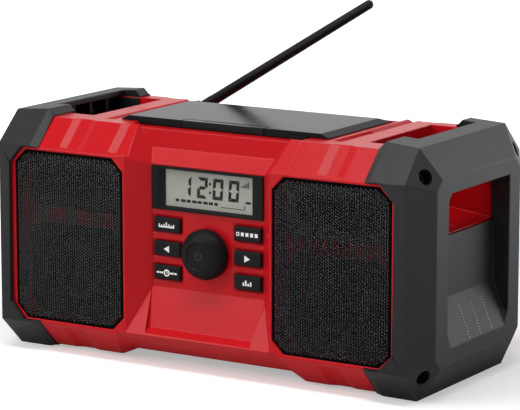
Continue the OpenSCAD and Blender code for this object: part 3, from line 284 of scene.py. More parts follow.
FINISH = {
    "red_shell": finish_of("red_shell", (0.56, 0.005, 0.010), 0.30, grain=1300.0,
                           depth_mm=0.03, drift=0.04, specular=0.19),
    "cap_rubber": finish_of("cap_rubber", (0.009, 0.0091, 0.0099), 0.46, grain=900.0,
                            depth_mm=0.06, drift=0.08, dust=0.012, specular=0.38, sheen=0.03),
    "screw_steel": finish_of("screw_steel", (0.05, 0.05, 0.052), 0.42, metal=1.0, grain=2500.0,
                             depth_mm=0.01),
    "grille_metal": finish_of("grille_metal", (0.0015, 0.0015, 0.0018), 0.35, grain=3000.0,
                              depth_mm=0.02, specular=0.02),
    "speaker_black": finish_of("speaker_black", (0.006, 0.006, 0.0065), 0.5, specular=0.15),
    "magnet_metal": finish_of("magnet_metal", (0.12, 0.12, 0.13), 0.45, metal=0.6),
    "cone_paper": finish_of("cone_paper", (0.020, 0.020, 0.022), 0.7, grain=1800.0,
                            depth_mm=0.1),
    "soft_rubber": finish_of("soft_rubber", (0.012, 0.012, 0.013), 0.18, specular=1.0),
    "black_plastic": finish_of("black_plastic", (0.009, 0.0092, 0.0100), 0.45, grain=1600.0,
                               depth_mm=0.03, specular=0.12),
    "button_rubber": finish_of("button_rubber", (0.012, 0.0125, 0.0135), 0.55, grain=1500.0,
                               depth_mm=0.03, specular=0.12),
    "window_glass": clear_lens("window_glass"),
    "display_face": finish_of("display_face", (0.38, 0.385, 0.335), 0.45, grain=400.0,
                              depth_mm=0.005, drift=0.02),
    "circuit_board": finish_of("circuit_board", (0.02, 0.10, 0.04), 0.35, grain=600.0,
                               depth_mm=0.05, coat=0.3),
    "bright_steel": finish_of("bright_steel", (0.60, 0.61, 0.62), 0.30, metal=1.0,
                              grain=1200.0, depth_mm=0.01, brushed=25.0),
    "lid_plastic": finish_of("lid_plastic", (0.014, 0.014, 0.016), 0.16, grain=1200.0,
                             depth_mm=0.01, drift=0.06, specular=0.05),
    "antenna_black": finish_of("antenna_black", (0.010, 0.010, 0.011), 0.36, grain=1500.0,
                               depth_mm=0.02, specular=0.2),
    "contact_brass": finish_of("contact_brass", (0.75, 0.55, 0.25), 0.3, metal=1.0,
                               depth_mm=0.01),
}
MARK_WHITE = finish_of("mark_white", (0.90, 0.90, 0.89), 0.5, depth_mm=0.01, drift=0.02)
KNOB_RELIEF = finish_of("knob_relief", (0.030, 0.030, 0.032), 0.35, depth_mm=0.01, specular=0.4)
PUNCHED_EDGE = finish_of("punched_edge", (0.24, 0.24, 0.245), 0.08, metal=1.0, grain=3000.0,
                         depth_mm=0.01)
# Painted glint: a near-white tone on the small beads, which stands in for the light that the domes
# catch.
BEAD_PAINTED_GLINT = finish_of("bead_painted_glint", (0.72, 0.72, 0.73), 0.25, depth_mm=0.01, drift=0.05)
DISPLAY_INK = finish_of("display_ink", (0.002, 0.0025, 0.002), 0.6, depth_mm=0.005, drift=0.05,
                        specular=0.05)


# ---------------------------------------------------------------- meshes

def put_in_scene(name, mesh, material, body):
    """A finished piece at the origin that rides on a body and takes the finish that it is given."""
    mesh.materials.clear()
    mesh.materials.append(material)
    piece = new_object(name, mesh)
    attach(piece, body)
    return piece


def mesh_from(name, points, faces):
    """A mesh from an array of points and a list of faces, with its faces turned outwards."""
    mesh = bpy.data.meshes.new(name)
    mesh.from_pydata(points.tolist(), [], [list(face) for face in faces])
    bm = bmesh.new()
    bm.from_mesh(mesh)
    bmesh.ops.recalc_face_normals(bm, faces=bm.faces)
    bm.to_mesh(mesh)
    bm.free()
    mesh.update()
    return mesh


def array_mesh(name, points, *blocks):
    """A mesh from whole arrays: points (n, 3), and blocks of faces (m, sides), each of one
    number of sides."""
    corners = np.concatenate([block.ravel() for block in blocks]).astype(np.int32)
    sides = np.concatenate([np.full(len(block), block.shape[1]) for block in blocks])
    mesh = bpy.data.meshes.new(name)
    mesh.vertices.add(len(points))
    mesh.vertices.foreach_set("co", np.ascontiguousarray(points, np.float32).ravel())
    mesh.loops.add(len(corners))
    mesh.loops.foreach_set("vertex_index", corners)
    mesh.polygons.add(len(sides))
    mesh.polygons.foreach_set("loop_start", (np.cumsum(sides) - sides).astype(np.int32))
    mesh.update(calc_edges=True)
    return mesh


def points_in(mesh):
    """A mesh's points as an array (n, 3)."""
    points = np.empty(len(mesh.vertices) * 3)
    mesh.vertices.foreach_get("co", points)
    return points.reshape(-1, 3)


def box_of(node):
    """The lowest and the highest corner of a CAD node, from its own points."""
    points = points_in(NODES[node].data)
    return points.min(0), points.max(0)


def unit_ring(count):
    """Points round a circle of radius 1, the first one at (1, 0)."""
    turn = np.arange(count) * math.pi / (count / 2)
    return np.column_stack([np.cos(turn), np.sin(turn)])


def plates(outlines, y0, y1):
    """Flat plates that stand in the XZ plane between y0 and y1: each outline is carried
    straight along Y."""
    points, faces = [], []
    for outline in outlines:
        n, first = len(outline), sum(map(len, points))
        for y in (y0, y1):
            points.append(np.insert(outline, 1, y, axis=1))
        faces += [range(first, first + n), range(first + 2 * n - 1, first + n - 1, -1)]
        faces += [(first + k, first + (k + 1) % n, first + n + (k + 1) % n, first + n + k)
                  for k in range(n)]
    return np.vstack(points), faces


# ---------------------------------------------------------------- moulded copies of CAD nodes

MERGE_DISTANCE = 0.002 * MM
SHARP_ANGLE = math.radians(28)
SHALLOW_ANGLE = math.radians(6)
ONE_FLAT_ANGLE = math.radians(0.5)
LARGE_FLAT = 45 * MM * MM
SHORTEST_ROUNDED = 3.0 * MM
FLOWS_ON = math.cos(math.radians(50))
ROUNDING_TRIES = 6
STRAY_SHARE = 0.6          # of the radius: a rounding's point further off the surface is a stray
CLEARED_REACH = 4          # radii round a stray in which no edge is rounded
ROUNDING_MM = {"front_housing": 0.7, "rear_housing": 0.7, "left_end_cap": 0.9,
               "right_end_cap": 0.9, "compartment_lid": 0.5, "lid_latch": 0.25,
               "display_bezel": 0.25, "band_button": 0.3, "previous_button": 0.3,
               "clock_button": 0.3, "memory_button": 0.3, "next_button": 0.3,
               "tone_button": 0.3}


def flat_areas(bm):
    """For each face, the area of the flat that it is part of. Faces that meet at less than
    half a degree are one flat."""
    flat = [None] * len(bm.faces)
    areas = []
    for seed in bm.faces:
        if flat[seed.index] is not None:
            continue
        flat[seed.index] = len(areas)
        waiting, area = [seed], 0.0
        while waiting:
            face = waiting.pop()
            area += face.calc_area()
            for edge in face.edges:
                if edge.calc_face_angle(1.0) < ONE_FLAT_ANGLE:
                    for other in edge.link_faces:
                        if flat[other.index] is None:
                            flat[other.index] = len(areas)
                            waiting.append(other)
        areas.append(area)
    return [areas[k] for k in flat]


def creases(bm):
    """Edges where the form breaks: any steep edge, and a shallow one where two large flats
    meet."""
    areas = flat_areas(bm)
    found = set()
    for edge in bm.edges:
        angle = edge.calc_face_angle(0.0)
        between_flats = min([areas[face.index] for face in edge.link_faces] or [0.0]) > LARGE_FLAT
        if angle > SHARP_ANGLE or (angle > SHALLOW_ANGLE and between_flats):
            found.add(edge.index)
    return found


def near_any(edge, points, reach):
    """True if the edge passes within reach of one of the points."""
    start = edge.verts[0].co
    along = edge.verts[1].co - start
    for point in points:
        share = (point - start).dot(along) / max(along.length_squared, 1e-12)
        if (start + along * min(max(share, 0.0), 1.0) - point).length < reach:
            return True
    return False


def round_edges(bm, picked, radius):
    """Rounds the edges with these numbers in two steps, and gives the faces that this makes."""
    bm.edges.ensure_lookup_table()
    return bmesh.ops.bevel(bm, geom=[bm.edges[k] for k in picked], offset=radius,
                           offset_type="OFFSET", segments=2, profile=0.5, affect="EDGES",
                           clamp_overlap=False, loop_slide=False)["faces"]


def edges_to_round(bm, radius):
    """The long creases that take a rounding without throwing a corner off the old surface."""
    surface = BVHTree.FromBMesh(bm)
    broken = creases(bm)
    bm.edges.ensure_lookup_table()
    picked = [edge.index for edge in bm.edges if edge.index in broken and edge.is_manifold
              and edge.calc_length() > SHORTEST_ROUNDED]
    for _ in range(ROUNDING_TRIES):
        trial = bm.copy()
        round_edges(trial, picked, radius)
        astray = [vertex.co.copy() for vertex in trial.verts
                  if surface.find_nearest(vertex.co)[3] > STRAY_SHARE * radius]
        trial.free()
        if not astray:
            break
        picked = [k for k in picked if not near_any(bm.edges[k], astray, CLEARED_REACH * radius)]
    return picked


def flat_first_normals(bm, strips):
    """A normal for each face corner. A large flat keeps its own. A narrow face takes the mean
    of the large flats that it runs into at that point, or of all the faces that it runs into
    if none is large. strips are the faces of roundings, which are never large."""
    areas = flat_areas(bm)
    large = [area > LARGE_FLAT and face not in strips for face, area in zip(bm.faces, areas)]
    normals = []
    for face in bm.faces:
        for loop in face.loops:
            if large[face.index]:
                normals.append(face.normal.copy())
                continue
            joined = [f for f in loop.vert.link_faces if f.normal.dot(face.normal) > FLOWS_ON]
            flats = [f for f in joined if large[f.index]]
            if flats:
                total = sum((f.normal * areas[f.index] for f in flats), Vector())
            else:
                total = sum((f.normal * f.calc_area() ** 0.5 for f in joined), Vector())
            normals.append(total.normalized() if total.length > 0 else face.normal.copy())
    return normals


def moulded_copy(node, radius):
    """Stands for a CAD node: its mesh, merged, with its long creases rounded, its flats kept
    flat, and no point outside its box."""
    mesh = NODES[node].data.copy()
    bm = bmesh.new()
    bm.from_mesh(mesh)
    bmesh.ops.remove_doubles(bm, verts=bm.verts, dist=MERGE_DISTANCE)
    bm.edges.index_update()
    bm.faces.index_update()
    strips = set(round_edges(bm, edges_to_round(bm, radius), radius))
    bm.faces.index_update()
    for face in bm.faces:
        face.smooth = True
    normals = flat_first_normals(bm, strips)
    bm.to_mesh(mesh)
    bm.free()
    held = np.clip(points_in(mesh), *box_of(node))
    mesh.vertices.foreach_set("co", held.astype(np.float32).ravel())
    mesh.normals_split_custom_set(normals)
    piece = put_in_scene(node + "_moulding", mesh, FINISH[SLOTS[node]], BODY_OF[node])
    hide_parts(node)


# ---------------------------------------------------------------- perforated grilles

HOLE_PITCH = 2.45 * MM
HOLE_RADIUS = 0.78 * MM
HOLE_LEAD_IN = 0.12 * MM   # the small chamfer at a hole's front
HOLE_SIDES = 8
RIM_WIDTH = 1.7 * MM
RIM_ROUND = 0.5 * MM       # how far a rim's rounded corner reaches
RIM_ROUND_MID = 0.15 * MM  # how far its middle stays from both faces
SHEET_SINK = 0.25 * MM
SHEET_THICKNESS = 0.9 * MM
LEAST_CELL_DEPTH = 0.35 * MM
SAME_POINT = 1e-3 * MM
ROW_STEP = math.cos(math.pi / 6)   # from one column of holes to the next, in pitches


def cut_rectangle(width, height, cut, inset):
    """Eight corners of a rectangle whose corners are cut at 45 degrees, drawn in by an inset,
    round to the left from below. The inset shortens the cut by (2 - sqrt(2)) times itself."""
    w, h = width / 2 - inset, height / 2 - inset
    c = cut - inset * (2 - math.sqrt(2))
    return np.array([(w - c, -h), (w, -h + c), (w, h - c), (w - c, h),
                     (-w + c, h), (-w, h - c), (-w, -h + c), (-w + c, -h)])


def rim_ring(width, height, cut, front, back):
    """A rim swept round the cut rectangle: for each point of its profile, the outline drawn in
    by that much."""
    far = RIM_WIDTH - RIM_ROUND
    far_mid = RIM_WIDTH - RIM_ROUND_MID
    profile = [(0, back), (0, front + RIM_ROUND), (RIM_ROUND_MID, front + RIM_ROUND_MID),
               (RIM_ROUND, front), (far, front), (far_mid, front + RIM_ROUND_MID),
               (RIM_WIDTH, front + RIM_ROUND), (RIM_WIDTH, back)]
    rings = np.array([np.insert(cut_rectangle(width, height, cut, inset), 1, y, axis=1)
                      for inset, y in profile])
    steps, corners = rings.shape[:2]
    i, j = np.meshgrid(np.arange(steps), np.arange(corners), indexing="ij")
    i2, j2 = (i + 1) % steps, (j + 1) % corners
    faces = np.stack([i * corners + j, i2 * corners + j, i2 * corners + j2, i * corners + j2], -1)
    return rings.reshape(-1, 3), faces.reshape(-1, 4)[:, ::-1]


def fill_between(outer, inner):
    """Triangles between two rings about one centre, as (ring, place on it) for each corner:
    both rings are walked by angle, and the one that is behind takes the next step."""
    triangles, i, j = [], 0, 0
    while i < outer or j < inner:
        if (i + 1) * inner <= (j + 1) * outer:
            triangles.append([(0, i), (0, (i + 1) % outer), (1, j % inner)])
            i += 1
        else:
            triangles.append([(0, i % outer), (1, (j + 1) % inner), (1, j)])
            j += 1
    return np.array(triangles)


def honeycomb(width, height, cut):
    """Six-sided cells that cover the cut rectangle: their shared corners, the corners of each
    cell, their centres, and how far inside the outline these lie. The centres stand on a
    triangular lattice, and a cell's corners lie pitch / sqrt(3) from its centre. Corners past
    the rim's middle are drawn straight back onto it."""
    edges = cut_rectangle(width, height, cut, 0.0)
    along = np.roll(edges, -1, axis=0) - edges
    outward = np.column_stack([along[:, 1], -along[:, 0]])
    outward = outward / np.linalg.norm(along, axis=1)[:, None]
    reach = (edges * outward).sum(1)
    columns = math.ceil(width / HOLE_PITCH / 2 / ROW_STEP)
    rows = math.ceil(height / HOLE_PITCH / 2)
    column, row = np.meshgrid(np.arange(-columns, columns + 1), np.arange(-rows, rows + 1),
                              indexing="ij")
    lattice = np.stack([column * ROW_STEP, row + (column % 2) / 2], -1)
    centres = lattice.reshape(-1, 2) * HOLE_PITCH
    depth_in = (reach - centres @ outward.T).min(1)
    kept = depth_in > LEAST_CELL_DEPTH
    centres, depth_in = centres[kept], depth_in[kept]
    hexagon = unit_ring(6) * HOLE_PITCH / math.sqrt(3)
    corners = (centres[:, None] + hexagon).reshape(-1, 2)
    first, cells = np.unique(np.round(corners / SAME_POINT).astype(int), axis=0,
                             return_index=True, return_inverse=True)[1:]
    corners, cells = corners[first], cells.reshape(-1, 6)
    for _ in range(3):
        for normal, limit in zip(outward, reach - RIM_WIDTH / 2):
            past = np.maximum(corners @ normal - limit, 0.0)
            corners = corners - past[:, None] * normal
    return corners, cells, centres, depth_in


def border_walls(cells, count):
    """Quads from the front to the back of a sheet along the sides that only one cell has."""
    sides = np.stack([cells, np.roll(cells, -1, axis=1)], -1).reshape(-1, 2)
    which, times = np.unique(np.sort(sides, axis=1), axis=0, return_inverse=True,
                             return_counts=True)[1:]
    lone = sides[times[which.ravel()] == 1]
    return np.column_stack([lone[:, 0], lone[:, 0] + count, lone[:, 1] + count, lone[:, 1]])


def perforated_sheet(width, height, cut, front, back):
    """A sheet of six-sided cells with an eight-sided bore in each, which starts in a small
    chamfer. Cells that close to the rim stay whole. Gives the points, the triangles, the
    quads, and how many of the first quads are chamfers."""
    corners, cells, centres, depth_in = honeycomb(width, height, cut)
    count = len(corners)
    holed = depth_in > RIM_WIDTH
    open_cells, whole_cells = cells[holed], cells[~holed]
    octagon = unit_ring(HOLE_SIDES)
    rings = [np.insert(centres[holed][:, None] + octagon * radius, 1, y, axis=2)
             for radius, y in ((HOLE_RADIUS + HOLE_LEAD_IN, front),
                               (HOLE_RADIUS, front + HOLE_LEAD_IN), (HOLE_RADIUS, back))]
    points = np.vstack([np.insert(corners, 1, front, axis=1), np.insert(corners, 1, back, axis=1),
                        np.stack(rings, 1).reshape(-1, 3)])
    ring_at = np.arange(len(open_cells) * 3 * HOLE_SIDES).reshape(-1, 3, HOLE_SIDES) + 2 * count
    ladder = fill_between(6, HOLE_SIDES)
    pick = ladder[..., 0] * 6 + ladder[..., 1]
    front_face = np.concatenate([open_cells, ring_at[:, 0]], axis=1)[:, pick]
    back_face = np.concatenate([open_cells + count, ring_at[:, 2]], axis=1)[:, pick]
    fan = np.array([(0, k, k + 1) for k in range(1, 5)])
    whole = whole_cells[:, fan].reshape(-1, 3)
    triangles = np.vstack([front_face.reshape(-1, 3), back_face.reshape(-1, 3)[:, ::-1],
                           whole, whole[:, ::-1] + count])
    onward = np.roll(ring_at, -1, axis=2)
    chamfers, bores = [np.stack([ring_at[:, k], onward[:, k], onward[:, k + 1], ring_at[:, k + 1]],
                                -1).reshape(-1, 4) for k in (0, 1)]
    quads = np.vstack([chamfers, bores, border_walls(cells, count)])
    return points, triangles, quads, len(chamfers)


def perforated_grille(node):
    """A grille in the place of its CAD plate: the perforated sheet and the rim round it."""
    low, high = box_of(node)
    width, height = high[0] - low[0], high[2] - low[2]
    plate = points_in(NODES[node].data)
    cut = high[2] - plate[plate[:, 0] > high[0] - 0.01 * MM, 2].max()
    centre = np.array([(low[0] + high[0]) / 2, 0.0, (low[2] + high[2]) / 2])
    front = low[1] + SHEET_SINK
    sheet, triangles, quads, chamfers = perforated_sheet(width, height, cut, front,
                                                         front + SHEET_THICKNESS)
    rim, bands = rim_ring(width, height, cut, low[1], high[1])
    mesh = array_mesh(node + "_perforated", np.vstack([sheet, rim]) + centre, triangles,
                      np.vstack([quads, bands + len(sheet)]))
    piece = put_in_scene(node + "_perforated", mesh, FINISH["grille_metal"], BODY_OF[node])
    mesh.materials.append(PUNCHED_EDGE)
    punched = np.zeros(len(mesh.polygons), np.int32)
    punched[len(triangles):len(triangles) + chamfers] = 1
    mesh.polygons.foreach_set("material_index", punched)
    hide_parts(node)


# ---------------------------------------------------------------- outlines, in mm

def box_outline(x0, z0, x1, z1):
    """A rectangle from its lower left to its upper right corner."""
    return np.array([(x0, z0), (x1, z0), (x1, z1), (x0, z1)])


def bar(x0, z0, x1, z1, width, tip):
    """A bar from one point to another: pointed ends, tip times the half width long."""
    p, q = np.array([x0, z0]), np.array([x1, z1])
    along = (q - p) / np.linalg.norm(q - p)
    side = np.array([-along[1], along[0]]) * width / 2
    cut = along * width / 2 * tip
    return np.array([p - side + cut, q - side - cut, q, q + side - cut, p + side + cut, p])


def arc_band(radius, width, start, end, steps):
    """A band along an arc about the origin: the outer arc one way, and the inner arc back."""
    angle = np.radians(np.linspace(start, end, steps))
    ring = np.column_stack([np.cos(angle), np.sin(angle)])
    return np.vstack([ring * (radius + width / 2), ring[::-1] * (radius - width / 2)])


def columns_at(places, half_width, foot, tops):
    """Upright rectangles about their places, from one foot to each one's top."""
    return [box_outline(x - half_width, foot, x + half_width, top)
            for x, top in zip(places, tops)]


# ---------------------------------------------------------------- figures on the display

DIGIT_SLANT = 0.06
SEGMENT_GAP = 0.12
SEGMENTS = {"1": "bc", "2": "abged", "0": "abcdef"}
DIGITS = (("1", -26.6), ("2", -11.4), ("0", 3.1), ("0", 17.7))   # with their left sides
DIGIT_FOOT = -5.9
DIGIT_WIDTH, DIGIT_HEIGHT, DIGIT_STROKE = 9.5, 16.8, 2.7
COLON_DOT = 1.9
COLON_FEET = (-1.6, 5.2)
DASH_WIDTHS = (3.4, 4.3, 4.0, 4.5, 3.8, 4.3, 4.0, 3.4)
DASH_FOOT, DASH_TOP = -10.4, -8.2
DASH_START, DASH_PITCH = -31.2, 5.15
SIGNAL_RISES = (1.2, 2.1, 3.0, 3.9, 4.8)
SIGNAL_START, SIGNAL_PITCH, SIGNAL_WIDTH, SIGNAL_FOOT = 29.8, 1.55, 0.95, 6.0
BRACKET = ((10.8, -11.5, 32.5, -11.0), (32.5, -11.5, 33.1, -7.6))
BATTERY = ((33.6, -6.4, 38.2, -4.6), (38.2, -5.9, 38.8, -5.1))


def seven_segments(digit, x, z):
    """Mitred bars of a seven-segment figure whose lower left corner is at (x, z), leaning to
    the right: x grows with the height times the slant. Three bars are drawn at the top, the
    upper left and the middle, and the others are mirror images of the first two."""
    w, h, s, g = DIGIT_WIDTH, DIGIT_HEIGHT, DIGIT_STROKE, SEGMENT_GAP
    m = h / 2
    across = np.array([(g, h), (s + g, h - s), (w - s - g, h - s), (w - g, h)])
    upright = np.array([(0, h - g), (0, m + g), (s, m + s / 2 + g), (s, h - s - g)])
    middle = np.array([(s / 2 + g, m), (s + g, m + s / 2), (w - s - g, m + s / 2),
                       (w - s / 2 - g, m), (w - s - g, m - s / 2), (s + g, m - s / 2)])

    def to_right(outline):
        return outline * (-1, 1) + (w, 0)

    def to_foot(outline):
        return outline * (1, -1) + (0, h)

    bars = {"a": across, "b": to_right(upright), "c": to_right(to_foot(upright)),
            "d": to_foot(across), "e": to_foot(upright), "f": upright, "g": middle}
    return [bars[name] + bars[name][:, 1:] * (DIGIT_SLANT, 0) + (x, z)
            for name in SEGMENTS[digit]]


def display_figures():
    """The time, a row of dashes under it, a bracket, a signal mark and a small battery, all
    about the window's middle."""
    outlines = []
    for digit, x in DIGITS:
        outlines += seven_segments(digit, x, DIGIT_FOOT)
    outlines += [box_outline(0.0, z, COLON_DOT, z + COLON_DOT) for z in COLON_FEET]
    starts = np.arange(len(DASH_WIDTHS)) * DASH_PITCH + DASH_START
    outlines += [box_outline(x, DASH_FOOT, x + width, DASH_TOP)
                 for x, width in zip(starts, DASH_WIDTHS)]
    outlines += [box_outline(*corners) for corners in BRACKET]
    starts = SIGNAL_START + np.arange(len(SIGNAL_RISES)) * SIGNAL_PITCH
    outlines += [box_outline(x, SIGNAL_FOOT, x + SIGNAL_WIDTH, SIGNAL_FOOT + rise)
                 for x, rise in zip(starts, SIGNAL_RISES)]
    return outlines + [box_outline(*corners) for corners in BATTERY]


# ---------------------------------------------------------------- marks on buttons and knob

PRINT_THICKNESS = 0.08 * MM
DISPLAY_PRINT_PROUD = 0.06 * MM
BUTTON_PRINT_PROUD = 0.05 * MM
KNOB_DISH = 1.01 * MM            # depth of the dish in the knob's face
KNOB_MARK_PROUD = 0.3 * MM
KNOB_MARK_THICKNESS = 0.6 * MM


def tuning_scale():
    """A base line with seven ticks, the middle one tall."""
    ticks = columns_at(np.linspace(-6.8, 6.8, 7), 0.55, -1.0, (0.8, 0.1, 0.8, 2.2, 0.8, 0.1, 0.8))
    return ticks + [box_outline(-7.35, -2.1, 7.35, -0.9)]


def arrow_mark(way):
    """A solid arrow head that points to the left (1) or to the right (-1)."""
    return [np.array([(-2.6, 0.0), (2.4, -2.8), (2.4, 2.8)]) * (way, 1)]


def clock_mark():
    """A ring with two hands, and two short dashes on each side."""
    ring = [arc_band(2.3, 1.1, start, start + 180, 12) for start in (0, 180)]
    hands = [bar(0, -0.3, 0, 1.4, 0.9, 0.1), bar(-0.3, 0, 1.2, 0, 0.9, 0.1)]
    return ring + hands + columns_at((-8.1, -4.8, 4.8, 8.1), 1.4, -0.7, (0.7,) * 4)


def memory_mark():
    """Five small squares in a row, the first one open."""
    squares = columns_at((-4.2, 0.0, 4.2, 8.4), 1.35, -1.5, (1.5,) * 4)
    return squares + [box_outline(-9.75, -1.5, -7.05, -0.8), box_outline(-9.75, 0.8, -7.05, 1.5),
                      box_outline(-9.75, -0.8, -9.05, 0.8), box_outline(-7.75, -0.8, -7.05, 0.8)]


def tone_mark():
    """Four bars of an equaliser."""
    return columns_at((-3.3, -1.1, 1.1, 3.3), 0.75, -2.1, (0.5, 2.2, -0.1, 1.3))


def on_off_mark():
    """A ring that is open at the top, with an upright bar in the gap."""
    ring = [arc_band(3.0, 0.8, start, start + 145, 14) for start in (125, 270)]
    return ring + [box_outline(-0.4, 0.6, 0.4, 3.9)]


BUTTON_MARKS = {"band_button": tuning_scale(), "previous_button": arrow_mark(1),
                "clock_button": clock_mark(), "memory_button": memory_mark(),
                "next_button": arrow_mark(-1), "tone_button": tone_mark()}


def printed_on(node, name, outlines, material, proud, thickness=PRINT_THICKNESS):
    """Flat print or relief on the front of a CAD node, about its middle. It stands proud of
    the node's foremost point by that much, or sunk by it where it is negative."""
    low, high = box_of(node)
    middle = (low + high) / 2
    front = low[1] - proud
    points, faces = plates([outline * MM + (middle[0], middle[2]) for outline in outlines],
                           front, front + thickness)
    put_in_scene(name, mesh_from(name, points, faces), material, BODY_OF[node])


# ---------------------------------------------------------------- liners in the hand pockets

POCKET_END_Y = 55 * MM
LINER_GAP = 0.2 * MM
LINER_THICKNESS = 1.2 * MM
LINER_ROUNDING = 0.4 * MM
LINER_CORNERS_MM = ((150.4, 163.0), (188.5, 163.0), (188.5, 186.5), (163.6, 189.4),
                    (150.4, 189.4))


def pocket_liner(side):
    """A thin plate on the rear wall of a hand pocket, from the cap's edge to the far side of
    the bar: a five-sided outline, carried through its thickness, with its edges rounded."""
    back = POCKET_END_Y - LINER_GAP
    points, faces = plates([np.array(LINER_CORNERS_MM) * (side * MM, MM)],
                           back - LINER_THICKNESS, back)
    name = "right_pocket_liner" if side > 0 else "left_pocket_liner"
    piece = put_in_scene(name, mesh_from(name, points, faces), FINISH["cap_rubber"], "radio")
    rounding = piece.modifiers.new("rounding", "BEVEL")
    rounding.width, rounding.segments = LINER_ROUNDING, 2


# ---------------------------------------------------------------- beads on the end caps

BEADS_IN_COLUMN = 12
BEAD_SIDES = 6
BEAD_RADIUS = 0.6 * MM
BEAD_RING_RISES = (0, 40, 70)    # degrees up the half sphere
BEAD_SUNK = 0.4                  # of the radius: how deep its lowest point lies in the ramp
BEAD_COLUMN_PLACES = (82.5 * MM, 101 * MM, 119.3 * MM)   # back from the cap's front
BEAD_HEIGHTS = (63.8 * MM, 40.2 * MM)
RAMP_HEAD = (186 * MM, 72 * MM)
RAMP_FOOT = (200 * MM, 38 * MM)


def bead_columns(side):
    """Low domes in three columns down the ramp of a cap's panel. A column runs straight down
    the ramp, and a bead is rings of points at three heights of a half sphere, with a point on
    top and one sunk below."""
    front = box_of("right_end_cap")[0][1]
    z = np.linspace(*BEAD_HEIGHTS, BEADS_IN_COLUMN)
    share = (RAMP_HEAD[1] - z) / (RAMP_HEAD[1] - RAMP_FOOT[1])
    x = RAMP_HEAD[0] + share * (RAMP_FOOT[0] - RAMP_HEAD[0])
    columns = len(BEAD_COLUMN_PLACES)
    y = front + np.repeat(BEAD_COLUMN_PLACES, BEADS_IN_COLUMN)
    places = np.stack([np.tile(x, columns) * side, y, np.tile(z, columns)], -1)
    n, rings = BEAD_SIDES, len(BEAD_RING_RISES)
    rise, turn = np.meshgrid(np.radians(BEAD_RING_RISES), np.arange(n) * math.pi / (n / 2),
                             indexing="ij")
    dome = np.stack([np.sin(rise), np.cos(rise) * np.cos(turn), np.cos(rise) * np.sin(turn)], -1)
    dome = np.vstack([dome.reshape(-1, 3), [(1, 0, 0)], [(-BEAD_SUNK, 0, 0)]])
    dome = dome * BEAD_RADIUS * (side, 1, 1)
    k = np.arange(n)
    onward = (k + 1) % n
    quads = np.concatenate([np.stack([k, onward, n + onward, n + k], -1) + ring * n
                            for ring in range(rings - 1)])
    top_ring, top = (rings - 1) * n, rings * n
    caps = np.concatenate([np.stack([top_ring + k, top_ring + onward, np.full(n, top)], -1),
                           np.stack([onward, k, np.full(n, top + 1)], -1)])
    shift = np.arange(len(places))[:, None, None] * len(dome)
    points = (places[:, None] + dome).reshape(-1, 3)
    quads, caps = (quads + shift).reshape(-1, 4), (caps + shift).reshape(-1, 3)
    if side < 0:
        quads, caps = quads[:, ::-1], caps[:, ::-1]
    return points, quads, caps


# ---------------------------------------------------------------- putting it together

place_camera()

for node, radius_mm in ROUNDING_MM.items():
    moulded_copy(node, radius_mm * MM)

for node in ("left_grille", "right_grille"):
    perforated_grille(node)

printed_on("lcd_panel", "display_figures", display_figures(), DISPLAY_INK, DISPLAY_PRINT_PROUD)
for node, outlines in BUTTON_MARKS.items():
    printed_on(node, node + "_mark", outlines, MARK_WHITE, BUTTON_PRINT_PROUD)
printed_on("control_knob", "knob_on_off_mark", on_off_mark(), KNOB_RELIEF,
           KNOB_MARK_PROUD - KNOB_DISH, KNOB_MARK_THICKNESS)

for side, node in ((1, "right_end_cap"), (-1, "left_end_cap")):
    pocket_liner(side)
    name = node + "_beads"
    # The beads take the near-white tone of the painted glint.
    put_in_scene(name, array_mesh(name, *bead_columns(side)), BEAD_PAINTED_GLINT, BODY_OF[node])

for node, thing in NODES.items():
    thing.data.materials.clear()
    thing.data.materials.append(FINISH[SLOTS[node]])


# ---------------------------------------------------------------- stage and light

WHITE = (1.0, 1.0, 1.0, 1.0)
FLOOR_TONE = (0.80, 0.80, 0.80, 1.0)
FLOOR_RADIUS = 2.6
FLOOR_SIDES = 96
FLOOR_LIFT = 0.40          # added to the floor near the radio, for the camera only
FLOOR_DROP = 0.2 * MM      # under the feet, so that floor and feet never share a plane
SHADOW_REACH = (0.45, 1.1)
WORLD_LIGHT = 0.25
STUDIO_FRONT = 0.15        # what a mirroring surface sees in front of the radio
BACKDROP_SPAN = (-0.3, 0.5)


def mirrored_ray(tree, path):
    """1 for rays that come by way of a mirroring or clear surface."""
    return calculate(tree, "MAXIMUM", path["Is Glossy Ray"], path["Is Transmission Ray"])


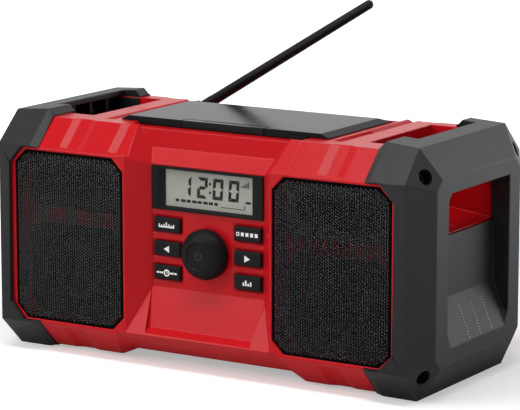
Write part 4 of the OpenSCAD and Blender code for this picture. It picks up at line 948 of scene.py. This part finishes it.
def make_floor():
    """A pale disc that keeps the shadow near the object and fades to the white of the backdrop
    further out."""
    mesh = bpy.data.meshes.new("floor")
    disc = np.insert(unit_ring(FLOOR_SIDES) * FLOOR_RADIUS, 2, -FLOOR_DROP, axis=1)
    mesh.from_pydata(disc.tolist(), [], [list(range(FLOOR_SIDES))])
    floor = new_object("floor", mesh)
    material, tree, shader = new_material("floor")
    path = add_node(tree, "ShaderNodeLightPath").outputs
    away = add_node(tree, "ShaderNodeVectorMath", {0: object_point(tree)}, operation="LENGTH")
    far = map_range(tree, away.outputs["Value"], SHADOW_REACH, smooth=True)
    to_camera = blend(tree, path["Is Camera Ray"], 0.0, blend(tree, far, FLOOR_LIFT, 1.0))
    glow = calculate(tree, "MULTIPLY_ADD", mirrored_ray(tree, path), far, to_camera)
    feed(tree, shader, {"Base Color": FLOOR_TONE, "Roughness": 0.9, "Specular IOR Level": 0.0,
                        "Emission Color": WHITE, "Emission Strength": glow})
    mesh.materials.append(material)


def make_world():
    """White where it is seen. Mirroring surfaces see it white behind the radio and dimmer in
    front of it, as in a studio with a lit backdrop, and as light it has one soft level."""
    world = bpy.data.worlds.new("studio")
    bpy.context.scene.world = world
    world.use_nodes = True
    tree = world.node_tree
    path = add_node(tree, "ShaderNodeLightPath").outputs
    way = add_node(tree, "ShaderNodeTexCoord").outputs["Generated"]
    split = add_node(tree, "ShaderNodeSeparateXYZ", {0: way})
    mirrored = map_range(tree, split.outputs["Y"], BACKDROP_SPAN, (STUDIO_FRONT, 1.0), smooth=True)
    unseen = blend(tree, mirrored_ray(tree, path), WORLD_LIGHT, mirrored)
    feed(tree, tree.nodes["Background"].inputs,
         {"Color": WHITE, "Strength": blend(tree, path["Is Camera Ray"], unseen, 1.0)})


def soft_lamp(name, place, aim, width, depth, power):
    """A rectangular area lamp at a place, turned to an aim; its width lies level."""
    data = bpy.data.lights.new(name, "AREA")
    data.shape = "RECTANGLE"
    data.size, data.size_y = width, depth
    data.energy = power
    lamp = new_object(name, data)
    look_along(lamp, place, Vector(aim) - Vector(place))


make_floor()
make_world()
soft_lamp("key", (-1.2, -1.5, 1.3), (0, 0, 0.1), 1.2, 1.2, 18.5)
soft_lamp("side", (1.1, 1.3, 0.35), (0.15, 0, 0.1), 1.0, 1.0, 3.5)
soft_lamp("top", (0.1, -0.5, 1.5), (0.1, -0.1, 0.1), 1.4, 0.35, 13.0)
bpy.context.scene.view_settings.view_transform = "Standard"
